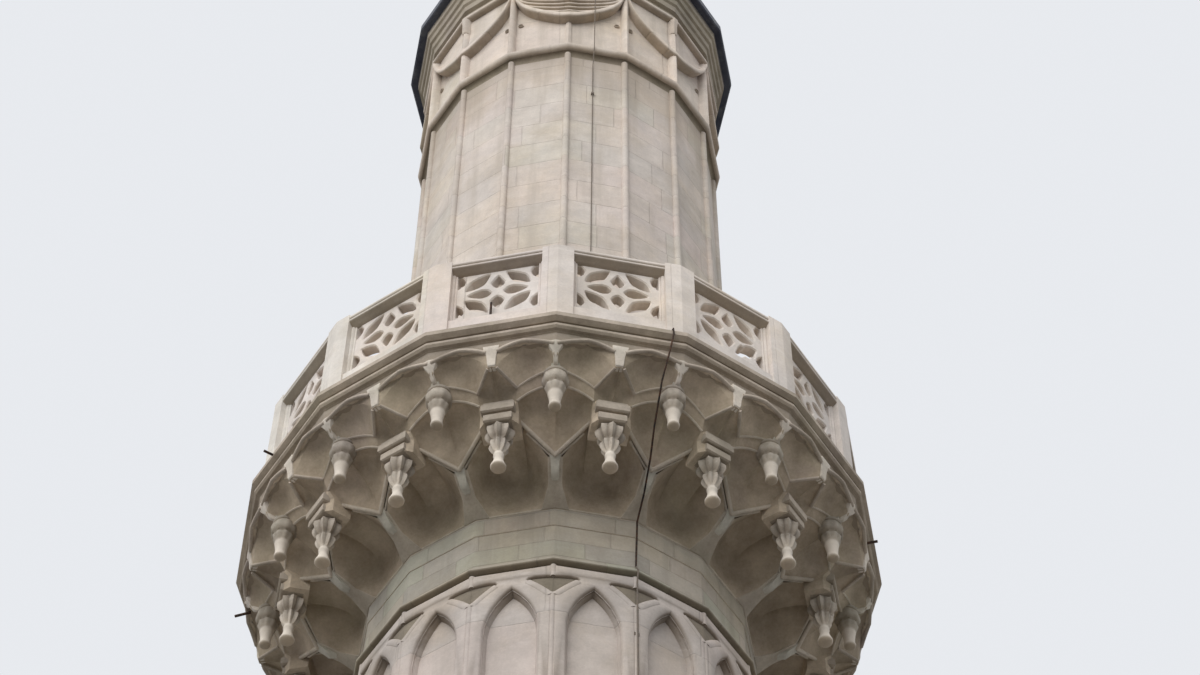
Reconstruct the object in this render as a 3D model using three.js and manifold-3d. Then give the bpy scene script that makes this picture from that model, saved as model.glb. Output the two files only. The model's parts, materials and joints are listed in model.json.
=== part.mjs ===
// A sixteen-sided stone minaret with one balcony, from its square base to the finial.
// Millimetres, +Z up, origin at the centre of the base on the ground, corner 0 towards -Y.
import * as THREE from 'three';
import { mergeVertices } from 'three/addons/utils/BufferGeometryUtils.js';
import { ConvexGeometry } from 'three/addons/geometries/ConvexGeometry.js';
import Module from 'manifold-3d';

const wasm = await Module();
wasm.setup();

// Driving dimensions: plan. Radii of the sixteen-sided rings are measured to their corners.
const SIDES = 16;
const STEP = (2 * Math.PI) / SIDES;
const GAP = 0.3;
const SHAFT_RADIUS = 1304;
const SHAFT_CORE_RADIUS = 980;
const SHAFT_RIB_RADIUS = 45;
const BAND_RADIUS = 1350;
const PETEK_RADIUS = 1250;
const PETEK_CORE_RADIUS = 930;
const PETEK_RIB_RADIUS = 27;
const CORNICE_RADIUS = 2282;
const CORNICE_ROLL_RADIUS = 2222;
const EAVE_RADIUS = 1482;
const BASE_WIDTH = 3500;
const BASE_CORE_WIDTH = 1900;
const PLINTH_WIDTH = 3860;

// Driving dimensions: levels above the ground
const PLINTH_TOP = 300;
const BASE_TOP = 3500;
const BASE_CORNICE_TOP = 3800;
const TRANSITION_TOP = 5600;
const FOOT_RING_TOP = 5850;
const SLIT_BOTTOM = 9800;
const SLIT_HEIGHT = 650;
const BALCONY_FLOOR = 17000;
const CORNICE_BOTTOM = BALCONY_FLOOR - 220;
const UPPER_TIER_BOTTOM = BALCONY_FLOOR - 415;
const LOWER_TIER_BOTTOM = BALCONY_FLOOR - 1010;
const ARCADE_RING_TOP = BALCONY_FLOOR - 1475;
const ARCADE_RING_BOTTOM = BALCONY_FLOOR - 1535;
const ARCADE_BOTTOM = BALCONY_FLOOR - 2900;
const PETEK_RING_BOTTOM = BALCONY_FLOOR + 5490;
const PETEK_RING_TOP = BALCONY_FLOOR + 5620;
const FRIEZE_TOP = BALCONY_FLOOR + 6820;
const EAVE_BOTTOM = BALCONY_FLOOR + 7270;
const EAVE_TOP = BALCONY_FLOOR + 7350;
const ROOF_TOP = EAVE_TOP + 4500;
const FINIAL_HEIGHT = 1500;

// Driving dimensions: parapet
const PARAPET_HEIGHT = 940;
const PARAPET_PLINTH_HEIGHT = 215;
const POST_RADIUS = 2215;
const POST_HALF_WIDTH = 112;
const POST_DEPTH = 180;
const PANEL_APOTHEM = 2133;
const PANEL_THICKNESS = 90;
const RAIL_HEIGHT = 120;
const RAIL_OVERHANG = 35;

// Driving dimensions: doors, slits and blind arches
const BASE_DOOR_WIDTH = 820;
const BASE_DOOR_HEIGHT = 1950;
const BALCONY_DOOR_WIDTH = 600;
const BALCONY_DOOR_HEIGHT = 1750;
const DOOR_THICKNESS = 60;
const SLIT_WIDTH = 180;
const ARCH_HALF_WIDTH = 172;
const ARCH_RISE = 410;
const ARCH_APEX = BALCONY_FLOOR - 1715;
const ARCH_RECESS = 45;

// Materials
const stone = new THREE.MeshStandardMaterial({ color: 0xcdc3b7, roughness: 0.9, metalness: 0 });
const paleStone = new THREE.MeshStandardMaterial({ color: 0xd8cfc5, roughness: 0.88, metalness: 0 });
const carvedStone = new THREE.MeshStandardMaterial({ color: 0xbdb3a4, roughness: 0.92, metalness: 0 });
const lead = new THREE.MeshStandardMaterial({ color: 0x3b3f48, roughness: 0.55, metalness: 0.6 });
const oak = new THREE.MeshStandardMaterial({ color: 0x5c4230, roughness: 0.75, metalness: 0 });
const gilt = new THREE.MeshStandardMaterial({ color: 0xb08d3c, roughness: 0.35, metalness: 1 });

const group = new THREE.Group();

function addMesh(name, geometry, material) {
  const mesh = new THREE.Mesh(geometry, material);
  mesh.name = name;
  group.add(mesh);
}

// Shared vertices, positions only
function merged(geometry) {
  const plain = geometry.index ? geometry.toNonIndexed() : geometry;
  plain.deleteAttribute('normal');
  plain.deleteAttribute('uv');
  return mergeVertices(plain, 0.01);
}

function toSolid(geometry) {
  const plain = merged(geometry);
  return new wasm.Manifold(new wasm.Mesh({
    numProp: 3,
    vertProperties: new Float32Array(plain.attributes.position.array),
    triVerts: new Uint32Array(plain.index.array),
  }));
}

function toGeometry(solid) {
  const mesh = solid.getMesh();
  const geometry = new THREE.BufferGeometry();
  geometry.setAttribute('position', new THREE.BufferAttribute(new Float32Array(mesh.vertProperties), 3));
  geometry.setIndex(new THREE.BufferAttribute(new Uint32Array(mesh.triVerts), 1));
  return geometry;
}

function cut(geometry, tools) {
  return toGeometry(tools.map(toSolid).reduce((solid, tool) => solid.subtract(tool), toSolid(geometry)));
}

function joined(geometries) {
  return toGeometry(geometries.map(toSolid).reduce((whole, solid) => whole.add(solid)));
}

// A place in plan, counted in corners from corner 0 at -Y towards +X
function around(radius, corner) {
  return new THREE.Vector2(radius * Math.sin(corner * STEP), -radius * Math.cos(corner * STEP));
}

// A copy of a geometry modelled facing -Y, turned to another corner
function turned(geometry, corner) {
  return geometry.clone().rotateZ(corner * STEP);
}

function allCorners(offset = 0) {
  return Array.from({ length: SIDES }, (_, k) => k + offset);
}

function extruded(shape, bottom, top) {
  const geometry = new THREE.ExtrudeGeometry(shape, { depth: top - bottom, bevelEnabled: false });
  return geometry.translate(0, 0, bottom);
}

function box(width, depth, height, x, y, bottom) {
  return new THREE.BoxGeometry(width, depth, height).translate(x, y, bottom + height / 2);
}

function lathed(profile, sides, phase) {
  const points = profile.map(([radius, height]) => new THREE.Vector2(radius, height));
  return merged(new THREE.LatheGeometry(points, sides, phase).rotateX(Math.PI / 2));
}

// A ring turned from a counterclockwise profile of radius and height
function ring(profile, sides = SIDES, phase = 0) {
  return lathed([...profile, profile[0]], sides, phase);
}

// A turned solid whose profile runs from the axis at its foot to the axis at its top
function spindle(profile, sides = SIDES) {
  return lathed(profile, sides, 0);
}

// Half-round roll from one point of a profile up to another
function roll(radius, crest, bottom, top, steps) {
  const middle = (bottom + top) / 2;
  return Array.from({ length: steps + 1 }, (_, i) => {
    const angle = -Math.PI / 2 + (Math.PI * i) / steps;
    return [radius + (crest - radius) * Math.cos(angle), middle + ((top - bottom) / 2) * Math.sin(angle)];
  });
}

// Points round a half-round rib on a corner of a wall, over `sides` of its quarter turns
function ribPoints(outerRadius, ribRadius, corner, sides = [-1, -0.5, 0, 0.5, 1]) {
  const spread = Math.PI / 2 + STEP / 2;
  return sides.map((side) => {
    const angle = corner * STEP + side * spread;
    const direction = new THREE.Vector2(Math.sin(angle), -Math.cos(angle));
    return around(outerRadius, corner).addScaledVector(direction, ribRadius);
  });
}

// Plan of a whole ribbed wall
function fullPlan(outerRadius, innerRadius, ribRadius) {
  const plan = new THREE.Shape(allCorners().flatMap((corner) => ribPoints(outerRadius, ribRadius, corner)));
  plan.holes.push(new THREE.Path(allCorners().map((corner) => around(innerRadius, corner))));
  return plan;
}

// Plan of a quarter of a ribbed wall, from corner `first` to four corners on
function quarterPlan(outerRadius, innerRadius, ribRadius, first) {
  const inset = GAP / 2 / outerRadius / STEP;
  const corners = [first + inset, first + 1, first + 2, first + 3, first + 4 - inset];
  const ribSides = [[0, 0.5, 1], undefined, undefined, undefined, [-1, -0.5, 0]];
  const outline = corners.flatMap((corner, i) => ribPoints(outerRadius, ribRadius, corner, ribSides[i]));
  const inner = corners.map((corner) => around(innerRadius, corner)).reverse();
  return new THREE.Shape([...outline, ...inner]);
}

// Plan of half a ribbed wall, which stops at both ends beside a slit through the middle of a face
function halfPlan(outerRadius, innerRadius, ribRadius, first) {
  const corners = Array.from({ length: SIDES / 2 }, (_, i) => first + 0.5 + i);
  const atSlit = (radius, face, side) => {
    const centre = around(radius * Math.cos(STEP / 2), face);
    const along = new THREE.Vector2(Math.cos(face * STEP), Math.sin(face * STEP));
    return centre.addScaledVector(along, (side * SLIT_WIDTH) / 2);
  };
  const last = first + SIDES / 2;
  return new THREE.Shape([
    atSlit(outerRadius, first, 1),
    ...corners.flatMap((corner) => ribPoints(outerRadius, ribRadius, corner)),
    atSlit(outerRadius, last, -1),
    atSlit(innerRadius, last, -1),
    ...corners.map((corner) => around(innerRadius, corner)).reverse(),
    atSlit(innerRadius, first, 1),
  ]);
}

const QUARTERS = { front: -2, right: 2, back: 6, left: 10 };

// Square base: plinth, walls beside and over the doorway, door and cornice
function addBase() {
  const half = BASE_WIDTH / 2;
  const wall = (BASE_WIDTH - BASE_CORE_WIDTH) / 2;
  const middle = half - wall / 2;
  const height = BASE_TOP - PLINTH_TOP;
  const pier = (BASE_CORE_WIDTH - BASE_DOOR_WIDTH) / 2;
  const pierX = BASE_DOOR_WIDTH / 2 + pier / 2;
  const head = PLINTH_TOP + BASE_DOOR_HEIGHT;
  const doorRecess = 330;
  addMesh('base_plinth', box(PLINTH_WIDTH, PLINTH_WIDTH, PLINTH_TOP, 0, 0, 0), stone);
  addMesh('base_wall_right', box(wall, BASE_WIDTH, height, middle, 0, PLINTH_TOP), stone);
  addMesh('base_wall_left', box(wall, BASE_WIDTH, height, -middle, 0, PLINTH_TOP), stone);
  addMesh('base_wall_back', box(BASE_CORE_WIDTH, wall, height, 0, middle, PLINTH_TOP), stone);
  addMesh('base_wall_front_right', box(pier, wall, height, pierX, -middle, PLINTH_TOP), stone);
  addMesh('base_wall_front_left', box(pier, wall, height, -pierX, -middle, PLINTH_TOP), stone);
  addMesh('base_wall_over_door', box(BASE_DOOR_WIDTH, wall, BASE_TOP - head, 0, -middle, head), stone);
  const doorY = -half + doorRecess;
  addMesh('base_door', box(BASE_DOOR_WIDTH, DOOR_THICKNESS, BASE_DOOR_HEIGHT, 0, doorY, PLINTH_TOP), oak);
  const profile = [
    [BASE_CORE_WIDTH, BASE_TOP],
    [BASE_WIDTH, BASE_TOP],
    [BASE_WIDTH + 60, BASE_TOP + 60],
    [BASE_WIDTH + 60, BASE_TOP + 120],
    [BASE_WIDTH + 220, BASE_TOP + 230],
    [BASE_WIDTH + 220, BASE_CORNICE_TOP - 40],
    [BASE_WIDTH + 140, BASE_CORNICE_TOP],
    [BASE_CORE_WIDTH, BASE_CORNICE_TOP],
  ];
  const toCorner = Math.SQRT1_2;
  addMesh('base_cornice', ring(profile.map(([w, z]) => [w * toCorner, z]), 4, Math.PI / 4), stone);
}

// Faceted drum between the square base and the sixteen-sided shaft, and the roll on top of it
function addTransition() {
  const half = BASE_WIDTH / 2;
  const squareCorners = [[-half, -half], [half, -half], [half, half], [-half, half]];
  const points = squareCorners.map(([x, y]) => new THREE.Vector3(x, y, BASE_CORNICE_TOP));
  for (const corner of allCorners()) {
    const { x, y } = around(SHAFT_RADIUS + 80, corner);
    points.push(new THREE.Vector3(x, y, TRANSITION_TOP));
  }
  const past = 10;
  const core = spindle([
    [0, BASE_CORNICE_TOP - past],
    [SHAFT_CORE_RADIUS, BASE_CORNICE_TOP - past],
    [SHAFT_CORE_RADIUS, TRANSITION_TOP + past],
    [0, TRANSITION_TOP + past],
  ]);
  addMesh('transition_drum', cut(new ConvexGeometry(points), [core]), stone);
  const edge = SHAFT_RADIUS + 80;
  addMesh('shaft_foot_ring', ring([
    [SHAFT_CORE_RADIUS, TRANSITION_TOP],
    [edge, TRANSITION_TOP],
    ...roll(edge, edge + 90, TRANSITION_TOP + 20, FOOT_RING_TOP - 30, 5),
    [edge, FOOT_RING_TOP],
    [SHAFT_CORE_RADIUS, FOOT_RING_TOP],
  ]), stone);
}

// Ribbed shaft in three lifts; the middle one is in two halves with a slit between them on each side
function addShaft() {
  const radii = [SHAFT_RADIUS, SHAFT_CORE_RADIUS, SHAFT_RIB_RADIUS];
  const slitTop = SLIT_BOTTOM + SLIT_HEIGHT;
  const firstFace = 4.5;
  addMesh('shaft_lower', merged(extruded(fullPlan(...radii), FOOT_RING_TOP, SLIT_BOTTOM)), stone);
  for (const [side, face] of [['back', firstFace], ['front', firstFace + SIDES / 2]]) {
    const course = extruded(halfPlan(...radii, face), SLIT_BOTTOM, slitTop);
    addMesh(`shaft_window_course_${side}`, merged(course), stone);
  }
  addMesh('shaft_upper', merged(extruded(fullPlan(...radii), slitTop, ARCADE_BOTTOM)), stone);
}

// Pointed arch outline in the vertical plane, with its foot on the ground of the shape
function pointedArch(halfWidth, rise, straight, steps) {
  const shape = new THREE.Shape();
  const swing = (halfWidth ** 2 + rise ** 2) / (2 * halfWidth);
  const sweep = Math.asin(rise / swing);
  shape.moveTo(-halfWidth, 0);
  shape.lineTo(halfWidth, 0);
  for (let i = 0; i <= steps; i += 1) {
    const angle = (sweep * i) / steps;
    shape.lineTo(halfWidth - swing + swing * Math.cos(angle), straight + swing * Math.sin(angle));
  }
  for (let i = steps - 1; i >= 0; i -= 1) {
    const angle = (sweep * i) / steps;
    shape.lineTo(-halfWidth + swing - swing * Math.cos(angle), straight + swing * Math.sin(angle));
  }
  return shape;
}

// Drum with sixteen blind pointed arches, the roll above it and the plain masonry band
function addArcade() {
  const faceDepth = SHAFT_RADIUS * Math.cos(STEP / 2);
  const outerRadius = (faceDepth + ARCH_RECESS) / Math.cos(STEP / 2);
  const drum = ring([
    [SHAFT_CORE_RADIUS, ARCADE_BOTTOM],
    [outerRadius, ARCADE_BOTTOM],
    [outerRadius, ARCADE_RING_BOTTOM],
    [SHAFT_CORE_RADIUS, ARCADE_RING_BOTTOM],
  ]);
  const straight = ARCH_APEX - ARCH_RISE - ARCADE_BOTTOM;
  const arch = pointedArch(ARCH_HALF_WIDTH, ARCH_RISE, straight, 5);
  const depth = ARCH_RECESS * 2;
  const recess = new THREE.ExtrudeGeometry(arch, { depth, bevelEnabled: false });
  recess.rotateX(Math.PI / 2).translate(0, -faceDepth, ARCADE_BOTTOM - 1);
  addMesh('blind_arcade', cut(drum, allCorners(0.5).map((corner) => turned(recess, corner))), carvedStone);
  addMesh('arcade_ring', ring([
    [SHAFT_CORE_RADIUS, ARCADE_RING_BOTTOM],
    [BAND_RADIUS, ARCADE_RING_BOTTOM],
    ...roll(BAND_RADIUS, BAND_RADIUS + 26, ARCADE_RING_BOTTOM + 8, ARCADE_RING_TOP - 8, 4),
    [BAND_RADIUS, ARCADE_RING_TOP],
    [SHAFT_CORE_RADIUS, ARCADE_RING_TOP],
  ]), stone);
  addMesh('plain_band', ring([
    [SHAFT_CORE_RADIUS, ARCADE_RING_TOP],
    [BAND_RADIUS, ARCADE_RING_TOP],
    [BAND_RADIUS, LOWER_TIER_BOTTOM],
    [SHAFT_CORE_RADIUS, LOWER_TIER_BOTTOM],
  ]), stone);
}

// Hollow scooped out of the corbelling, as an ellipsoid facing -Y
function scoop(radius, height, width, depth, rise) {
  const ball = new THREE.SphereGeometry(1, 10, 6).rotateX(Math.PI / 2);
  return ball.scale(width, depth, rise).translate(0, -radius, height);
}

// Drop that hangs from the corbelling: foot, neck, bulb and slab
function pendant(radius, tip, parts) {
  const profile = [[0, tip], ...parts.map(([r, rise]) => [r, tip + rise])];
  profile.push([0, profile[profile.length - 1][1]]);
  return spindle(profile, 6).translate(0, -radius, 0);
}

// Corbelling in two tiers, each a flared ring with a hollow and a hanging drop in every bay
function addCorbelling() {
  const lowerEdge = 1898;
  const upperEdge = 2190;
  const lowerBody = ring([
    [SHAFT_CORE_RADIUS, LOWER_TIER_BOTTOM],
    [BAND_RADIUS + 20, LOWER_TIER_BOTTOM],
    [BAND_RADIUS + 70, LOWER_TIER_BOTTOM + 120],
    [1690, LOWER_TIER_BOTTOM + 400],
    [1850, LOWER_TIER_BOTTOM + 470],
    [lowerEdge, LOWER_TIER_BOTTOM + 500],
    [lowerEdge, UPPER_TIER_BOTTOM],
    [SHAFT_CORE_RADIUS, UPPER_TIER_BOTTOM],
  ]);
  const lowerScoop = scoop(1750, LOWER_TIER_BOTTOM + 60, 235, 350, 370);
  const lowerTip = BALCONY_FLOOR - 1108;
  const lowerDrop = pendant(1835, lowerTip, [
    [50, 0], [46, 30], [30, 110], [54, 200], [90, 290], [90, 440], [72, 480],
    [122, 486], [122, 530], [104, 560], [138, 640], [138, UPPER_TIER_BOTTOM - lowerTip],
  ]);
  const lower = cut(lowerBody, allCorners(0.5).map((corner) => turned(lowerScoop, corner)));
  const lowerDrops = allCorners(0.5).map((corner) => turned(lowerDrop, corner));
  addMesh('corbelling_lower_tier', joined([lower, ...lowerDrops]), carvedStone);

  const upperBody = ring([
    [SHAFT_CORE_RADIUS, UPPER_TIER_BOTTOM],
    [lowerEdge + 80, UPPER_TIER_BOTTOM],
    [2130, UPPER_TIER_BOTTOM + 130],
    [upperEdge, UPPER_TIER_BOTTOM + 150],
    [upperEdge, CORNICE_BOTTOM],
    [SHAFT_CORE_RADIUS, CORNICE_BOTTOM],
  ]);
  const upperScoop = scoop(2100, UPPER_TIER_BOTTOM + 10, 260, 190, 160);
  const upperTip = BALCONY_FLOOR - 726;
  const upperDrop = pendant(2010, upperTip, [
    [42, 0], [40, 26], [28, 96], [60, 160], [97, 215], [97, 290], [62, 330], [62, 490],
  ]);
  const upper = cut(upperBody, allCorners().map((corner) => turned(upperScoop, corner)));
  const upperDrops = allCorners().map((corner) => turned(upperDrop, corner));
  addMesh('corbelling_upper_tier', joined([upper, ...upperDrops]), carvedStone);
}

function addBalconyCornice() {
  const rollBottom = BALCONY_FLOOR - 146;
  const rollTop = BALCONY_FLOOR - 68;
  addMesh('balcony_cornice', ring([
    [PETEK_CORE_RADIUS, CORNICE_BOTTOM],
    [CORNICE_ROLL_RADIUS - 22, CORNICE_BOTTOM],
    [CORNICE_ROLL_RADIUS - 10, rollBottom - 6],
    [CORNICE_ROLL_RADIUS, rollBottom],
    ...roll(CORNICE_ROLL_RADIUS, CORNICE_ROLL_RADIUS + 36, rollBottom + 2, rollTop - 2, 5),
    [CORNICE_ROLL_RADIUS + 30, rollTop],
    [CORNICE_RADIUS, BALCONY_FLOOR - 40],
    [CORNICE_RADIUS, BALCONY_FLOOR],
    [PETEK_CORE_RADIUS, BALCONY_FLOOR],
  ]), paleStone);
}

// Post folded around corner 0 of the parapet
function postPlan() {
  const along = new THREE.Vector2(Math.cos(STEP / 2), Math.sin(STEP / 2)).multiplyScalar(POST_HALF_WIDTH);
  const inward = new THREE.Vector2(-Math.sin(STEP / 2), Math.cos(STEP / 2)).multiplyScalar(POST_DEPTH);
  const nose = new THREE.Vector2(0, -POST_RADIUS);
  const rightOuter = nose.clone().add(along);
  const rightInner = rightOuter.clone().add(inward);
  const heel = new THREE.Vector2(0, -POST_RADIUS + POST_DEPTH / Math.cos(STEP / 2));
  const mirrored = (point) => new THREE.Vector2(-point.x, point.y);
  return new THREE.Shape([mirrored(rightOuter), nose, rightOuter, rightInner, heel, mirrored(rightInner)]);
}

// Holes of the pierced panel, in the quarter right of and above its centre
function tracery() {
  const quarterHoles = [
    [[285, 262], [285, 92], [219, 257]],
    [[229, 36], [192, 160], [63, 256], [78, 136], [155, 70]],
  ];
  const middleLeaf = [[217, 0], [147, 34], [84, 42], [45, 0], [84, -42], [147, -34]];
  const diamond = [[0, 222], [45, 128], [0, 58], [-45, 128]];
  const mirror = (hole, u, v) => hole.map(([x, y]) => [x * u, y * v]);
  const holes = quarterHoles.flatMap((hole) => [
    mirror(hole, 1, 1), mirror(hole, -1, 1), mirror(hole, -1, -1), mirror(hole, 1, -1),
  ]);
  return [...holes, middleLeaf, mirror(middleLeaf, -1, 1), diamond, mirror(diamond, 1, -1)];
}

// Pierced parapet panel with its rail, between two posts
function panel() {
  const halfWidth = POST_RADIUS * Math.sin(STEP / 2) - POST_HALF_WIDTH - GAP;
  const bottom = PARAPET_PLINTH_HEIGHT;
  const top = PARAPET_HEIGHT - RAIL_HEIGHT;
  const centre = (bottom + top) / 2;
  const slab = new THREE.Shape([
    new THREE.Vector2(-halfWidth, bottom),
    new THREE.Vector2(halfWidth, bottom),
    new THREE.Vector2(halfWidth, top + 1),
    new THREE.Vector2(-halfWidth, top + 1),
  ]);
  for (const hole of tracery()) {
    slab.holes.push(new THREE.Path(hole.map(([u, v]) => new THREE.Vector2(u, centre + v))));
  }
  const pierced = new THREE.ExtrudeGeometry(slab, { depth: PANEL_THICKNESS, bevelEnabled: false });
  pierced.rotateX(Math.PI / 2).translate(0, PANEL_THICKNESS, 0);
  const railDepth = PANEL_THICKNESS + RAIL_OVERHANG * 2;
  const rail = box(2 * halfWidth, railDepth, RAIL_HEIGHT, 0, PANEL_THICKNESS / 2, top);
  return joined([pierced, rail]).translate(0, -PANEL_APOTHEM, BALCONY_FLOOR);
}

function addParapet() {
  const outer = (PANEL_APOTHEM + 25) / Math.cos(STEP / 2);
  const inner = (PANEL_APOTHEM - PANEL_THICKNESS - 25) / Math.cos(STEP / 2);
  const plinth = ring([
    [inner, BALCONY_FLOOR],
    [outer, BALCONY_FLOOR],
    [outer, BALCONY_FLOOR + PARAPET_PLINTH_HEIGHT],
    [inner, BALCONY_FLOOR + PARAPET_PLINTH_HEIGHT],
  ]);
  const post = extruded(postPlan(), BALCONY_FLOOR, BALCONY_FLOOR + PARAPET_HEIGHT);
  const posts = allCorners().map((corner) => turned(post, corner));
  addMesh('parapet_posts_and_plinth', joined([plinth, ...posts]), paleStone);
  const onePanel = panel();
  for (const bay of allCorners()) {
    const number = String(bay + 1).padStart(2, '0');
    addMesh(`parapet_panel_${number}`, turned(onePanel, bay + 0.5), paleStone);
  }
}

// Upper shaft with a doorway to the balcony at the back, its ring and the frieze under the roof
function addUpperShaft() {
  const doorway = box(
    BALCONY_DOOR_WIDTH, 900, BALCONY_DOOR_HEIGHT + 20, 0, PETEK_RADIUS, BALCONY_FLOOR - 20,
  );
  for (const [side, first] of Object.entries(QUARTERS)) {
    const plan = quarterPlan(PETEK_RADIUS, PETEK_CORE_RADIUS, PETEK_RIB_RADIUS, first);
    const wall = extruded(plan, BALCONY_FLOOR, PETEK_RING_BOTTOM);
    addMesh(`upper_shaft_wall_${side}`, side === 'back' ? cut(wall, [doorway]) : merged(wall), stone);
  }
  const doorY = PETEK_RADIUS - 130;
  addMesh('balcony_door', box(
    BALCONY_DOOR_WIDTH, DOOR_THICKNESS, BALCONY_DOOR_HEIGHT, 0, doorY, BALCONY_FLOOR,
  ), oak);
  const ringRadius = PETEK_RADIUS + 20;
  addMesh('upper_shaft_ring', ring([
    [PETEK_CORE_RADIUS, PETEK_RING_BOTTOM],
    [ringRadius, PETEK_RING_BOTTOM],
    ...roll(ringRadius, ringRadius + 48, PETEK_RING_BOTTOM + 15, PETEK_RING_TOP - 20, 5),
    [ringRadius, PETEK_RING_TOP],
    [PETEK_CORE_RADIUS, PETEK_RING_TOP],
  ]), paleStone);
  addMesh('swag_frieze', ring([
    [PETEK_CORE_RADIUS, PETEK_RING_TOP],
    [PETEK_RADIUS, PETEK_RING_TOP],
    [PETEK_RADIUS, FRIEZE_TOP],
    [PETEK_RADIUS + 40, FRIEZE_TOP + 30],
    [PETEK_RADIUS + 40, FRIEZE_TOP + 90],
    [PETEK_RADIUS + 75, FRIEZE_TOP + 130],
    [PETEK_RADIUS + 75, FRIEZE_TOP + 190],
    [PETEK_RADIUS + 105, FRIEZE_TOP + 300],
    [PETEK_RADIUS + 160, EAVE_BOTTOM],
    [PETEK_CORE_RADIUS, EAVE_BOTTOM],
  ]), paleStone);
}

// Eave, hollow lead roof and finial
function addRoof() {
  addMesh('roof_eave', ring([
    [PETEK_CORE_RADIUS, EAVE_BOTTOM],
    [EAVE_RADIUS, EAVE_BOTTOM],
    [EAVE_RADIUS, EAVE_TOP],
    [PETEK_CORE_RADIUS, EAVE_TOP],
  ]), lead);
  const shell = 90;
  addMesh('lead_roof', spindle([
    [0, ROOF_TOP - 420],
    [EAVE_RADIUS - 190, EAVE_TOP],
    [EAVE_RADIUS - 30, EAVE_TOP],
    [EAVE_RADIUS - 160, EAVE_TOP + 260],
    [shell, ROOF_TOP],
    [0, ROOF_TOP],
  ]), lead);
  const ball = (radius, centre) => roll(30, radius, centre - radius, centre + radius, 6);
  const z = ROOF_TOP;
  const stem = spindle([
    [0, z],
    [85, z],
    [60, z + 60],
    ...ball(150, z + 230),
    ...ball(95, z + 520),
    ...ball(130, z + 790),
    [22, z + 960],
    [16, z + 1150],
    [0, z + 1150],
  ], 12);
  const crescent = new THREE.Shape();
  crescent.absarc(0, 0, 190, Math.PI * 0.62, Math.PI * 2.38, false);
  crescent.absarc(0, 40, 150, Math.PI * 2.3, Math.PI * 0.7, true);
  const moon = new THREE.ExtrudeGeometry(crescent, { depth: 30, bevelEnabled: false, curveSegments: 10 });
  moon.rotateX(Math.PI / 2).translate(0, 15, z + FINIAL_HEIGHT - 190);
  addMesh('finial', joined([stem, moon]), gilt);
}

addBase();
addTransition();
addShaft();
addArcade();
addCorbelling();
addBalconyCornice();
addParapet();
addUpperShaft();
addRoof();

export default group;
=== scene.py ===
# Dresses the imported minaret: ashlar, carved corbelling, tracery, swags, lead roof and fittings.
# Metres, +Z up. A place in plan is counted in bays of the sixteen-sided plan from the front corner.
import json
import math

import bmesh
import bpy
from mathutils import Matrix, Vector
from mathutils.geometry import tessellate_polygon

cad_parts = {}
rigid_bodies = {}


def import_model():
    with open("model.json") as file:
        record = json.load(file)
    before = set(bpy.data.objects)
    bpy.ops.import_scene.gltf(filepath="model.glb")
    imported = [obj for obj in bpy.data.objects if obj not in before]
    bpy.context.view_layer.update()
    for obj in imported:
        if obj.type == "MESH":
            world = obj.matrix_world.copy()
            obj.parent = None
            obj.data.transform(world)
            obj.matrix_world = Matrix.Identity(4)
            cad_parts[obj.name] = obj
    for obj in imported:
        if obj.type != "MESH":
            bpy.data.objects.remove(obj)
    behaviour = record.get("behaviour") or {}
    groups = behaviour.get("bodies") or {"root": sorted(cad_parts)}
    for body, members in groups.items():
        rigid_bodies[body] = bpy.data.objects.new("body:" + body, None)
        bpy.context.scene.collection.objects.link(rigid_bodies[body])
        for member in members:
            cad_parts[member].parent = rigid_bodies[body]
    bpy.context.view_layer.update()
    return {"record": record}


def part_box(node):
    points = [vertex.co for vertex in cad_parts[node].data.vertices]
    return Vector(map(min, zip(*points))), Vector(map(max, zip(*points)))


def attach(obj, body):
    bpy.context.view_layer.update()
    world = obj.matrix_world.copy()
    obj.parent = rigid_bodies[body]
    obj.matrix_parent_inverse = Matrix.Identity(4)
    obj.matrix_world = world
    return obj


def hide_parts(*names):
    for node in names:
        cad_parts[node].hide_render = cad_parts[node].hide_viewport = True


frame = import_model()

SIDES = 16
BAY = 2 * math.pi / SIDES
CORNERS = range(SIDES)
FACE = math.cos(BAY / 2)
UP = Vector((0, 0, 1))


def low(node, axis=2):
    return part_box(node)[0][axis]


def high(node, axis=2):
    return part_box(node)[1][axis]


# Levels and corner radii that the solids give
FLOOR = high("balcony_cornice")
CORNICE_BOTTOM = low("balcony_cornice")
CORBEL_BOTTOM = low("corbelling_lower_tier")
ARCADE_TOP = high("blind_arcade")
ARCADE_BOTTOM = low("blind_arcade")
RING_TOP = high("upper_shaft_ring")
EAVE_BOTTOM = low("roof_eave")
EAVE_TOP = high("roof_eave")
ROOF_TOP = high("lead_roof")
BAND_RADIUS = high("plain_band", 0)
ARCADE_RADIUS = high("blind_arcade", 0)
CORNICE_RADIUS = high("balcony_cornice", 0)
EAVE_RADIUS = high("roof_eave", 0)
SHAFT_RIB = 0.045
UPPER_RIB = 0.027
SHAFT_RADIUS = high("shaft_upper", 0) - SHAFT_RIB
UPPER_RADIUS = high("upper_shaft_wall_right", 0) - UPPER_RIB
CORE_RADIUS = 0.985

# Camera at the photograph's place and angle
CAMERA_DISTANCE = 12.391
CAMERA_AZIMUTH = math.radians(1.550)
CAMERA_HEIGHT = 1.636
CAMERA_PITCH = math.radians(56.12)
CAMERA_PAN = math.radians(1.299)
CAMERA_ROLL = math.radians(-0.334)
CAMERA_LENS = 83.32
SENSOR_WIDTH = 36.0
CAMERA_REACH = 500


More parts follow.
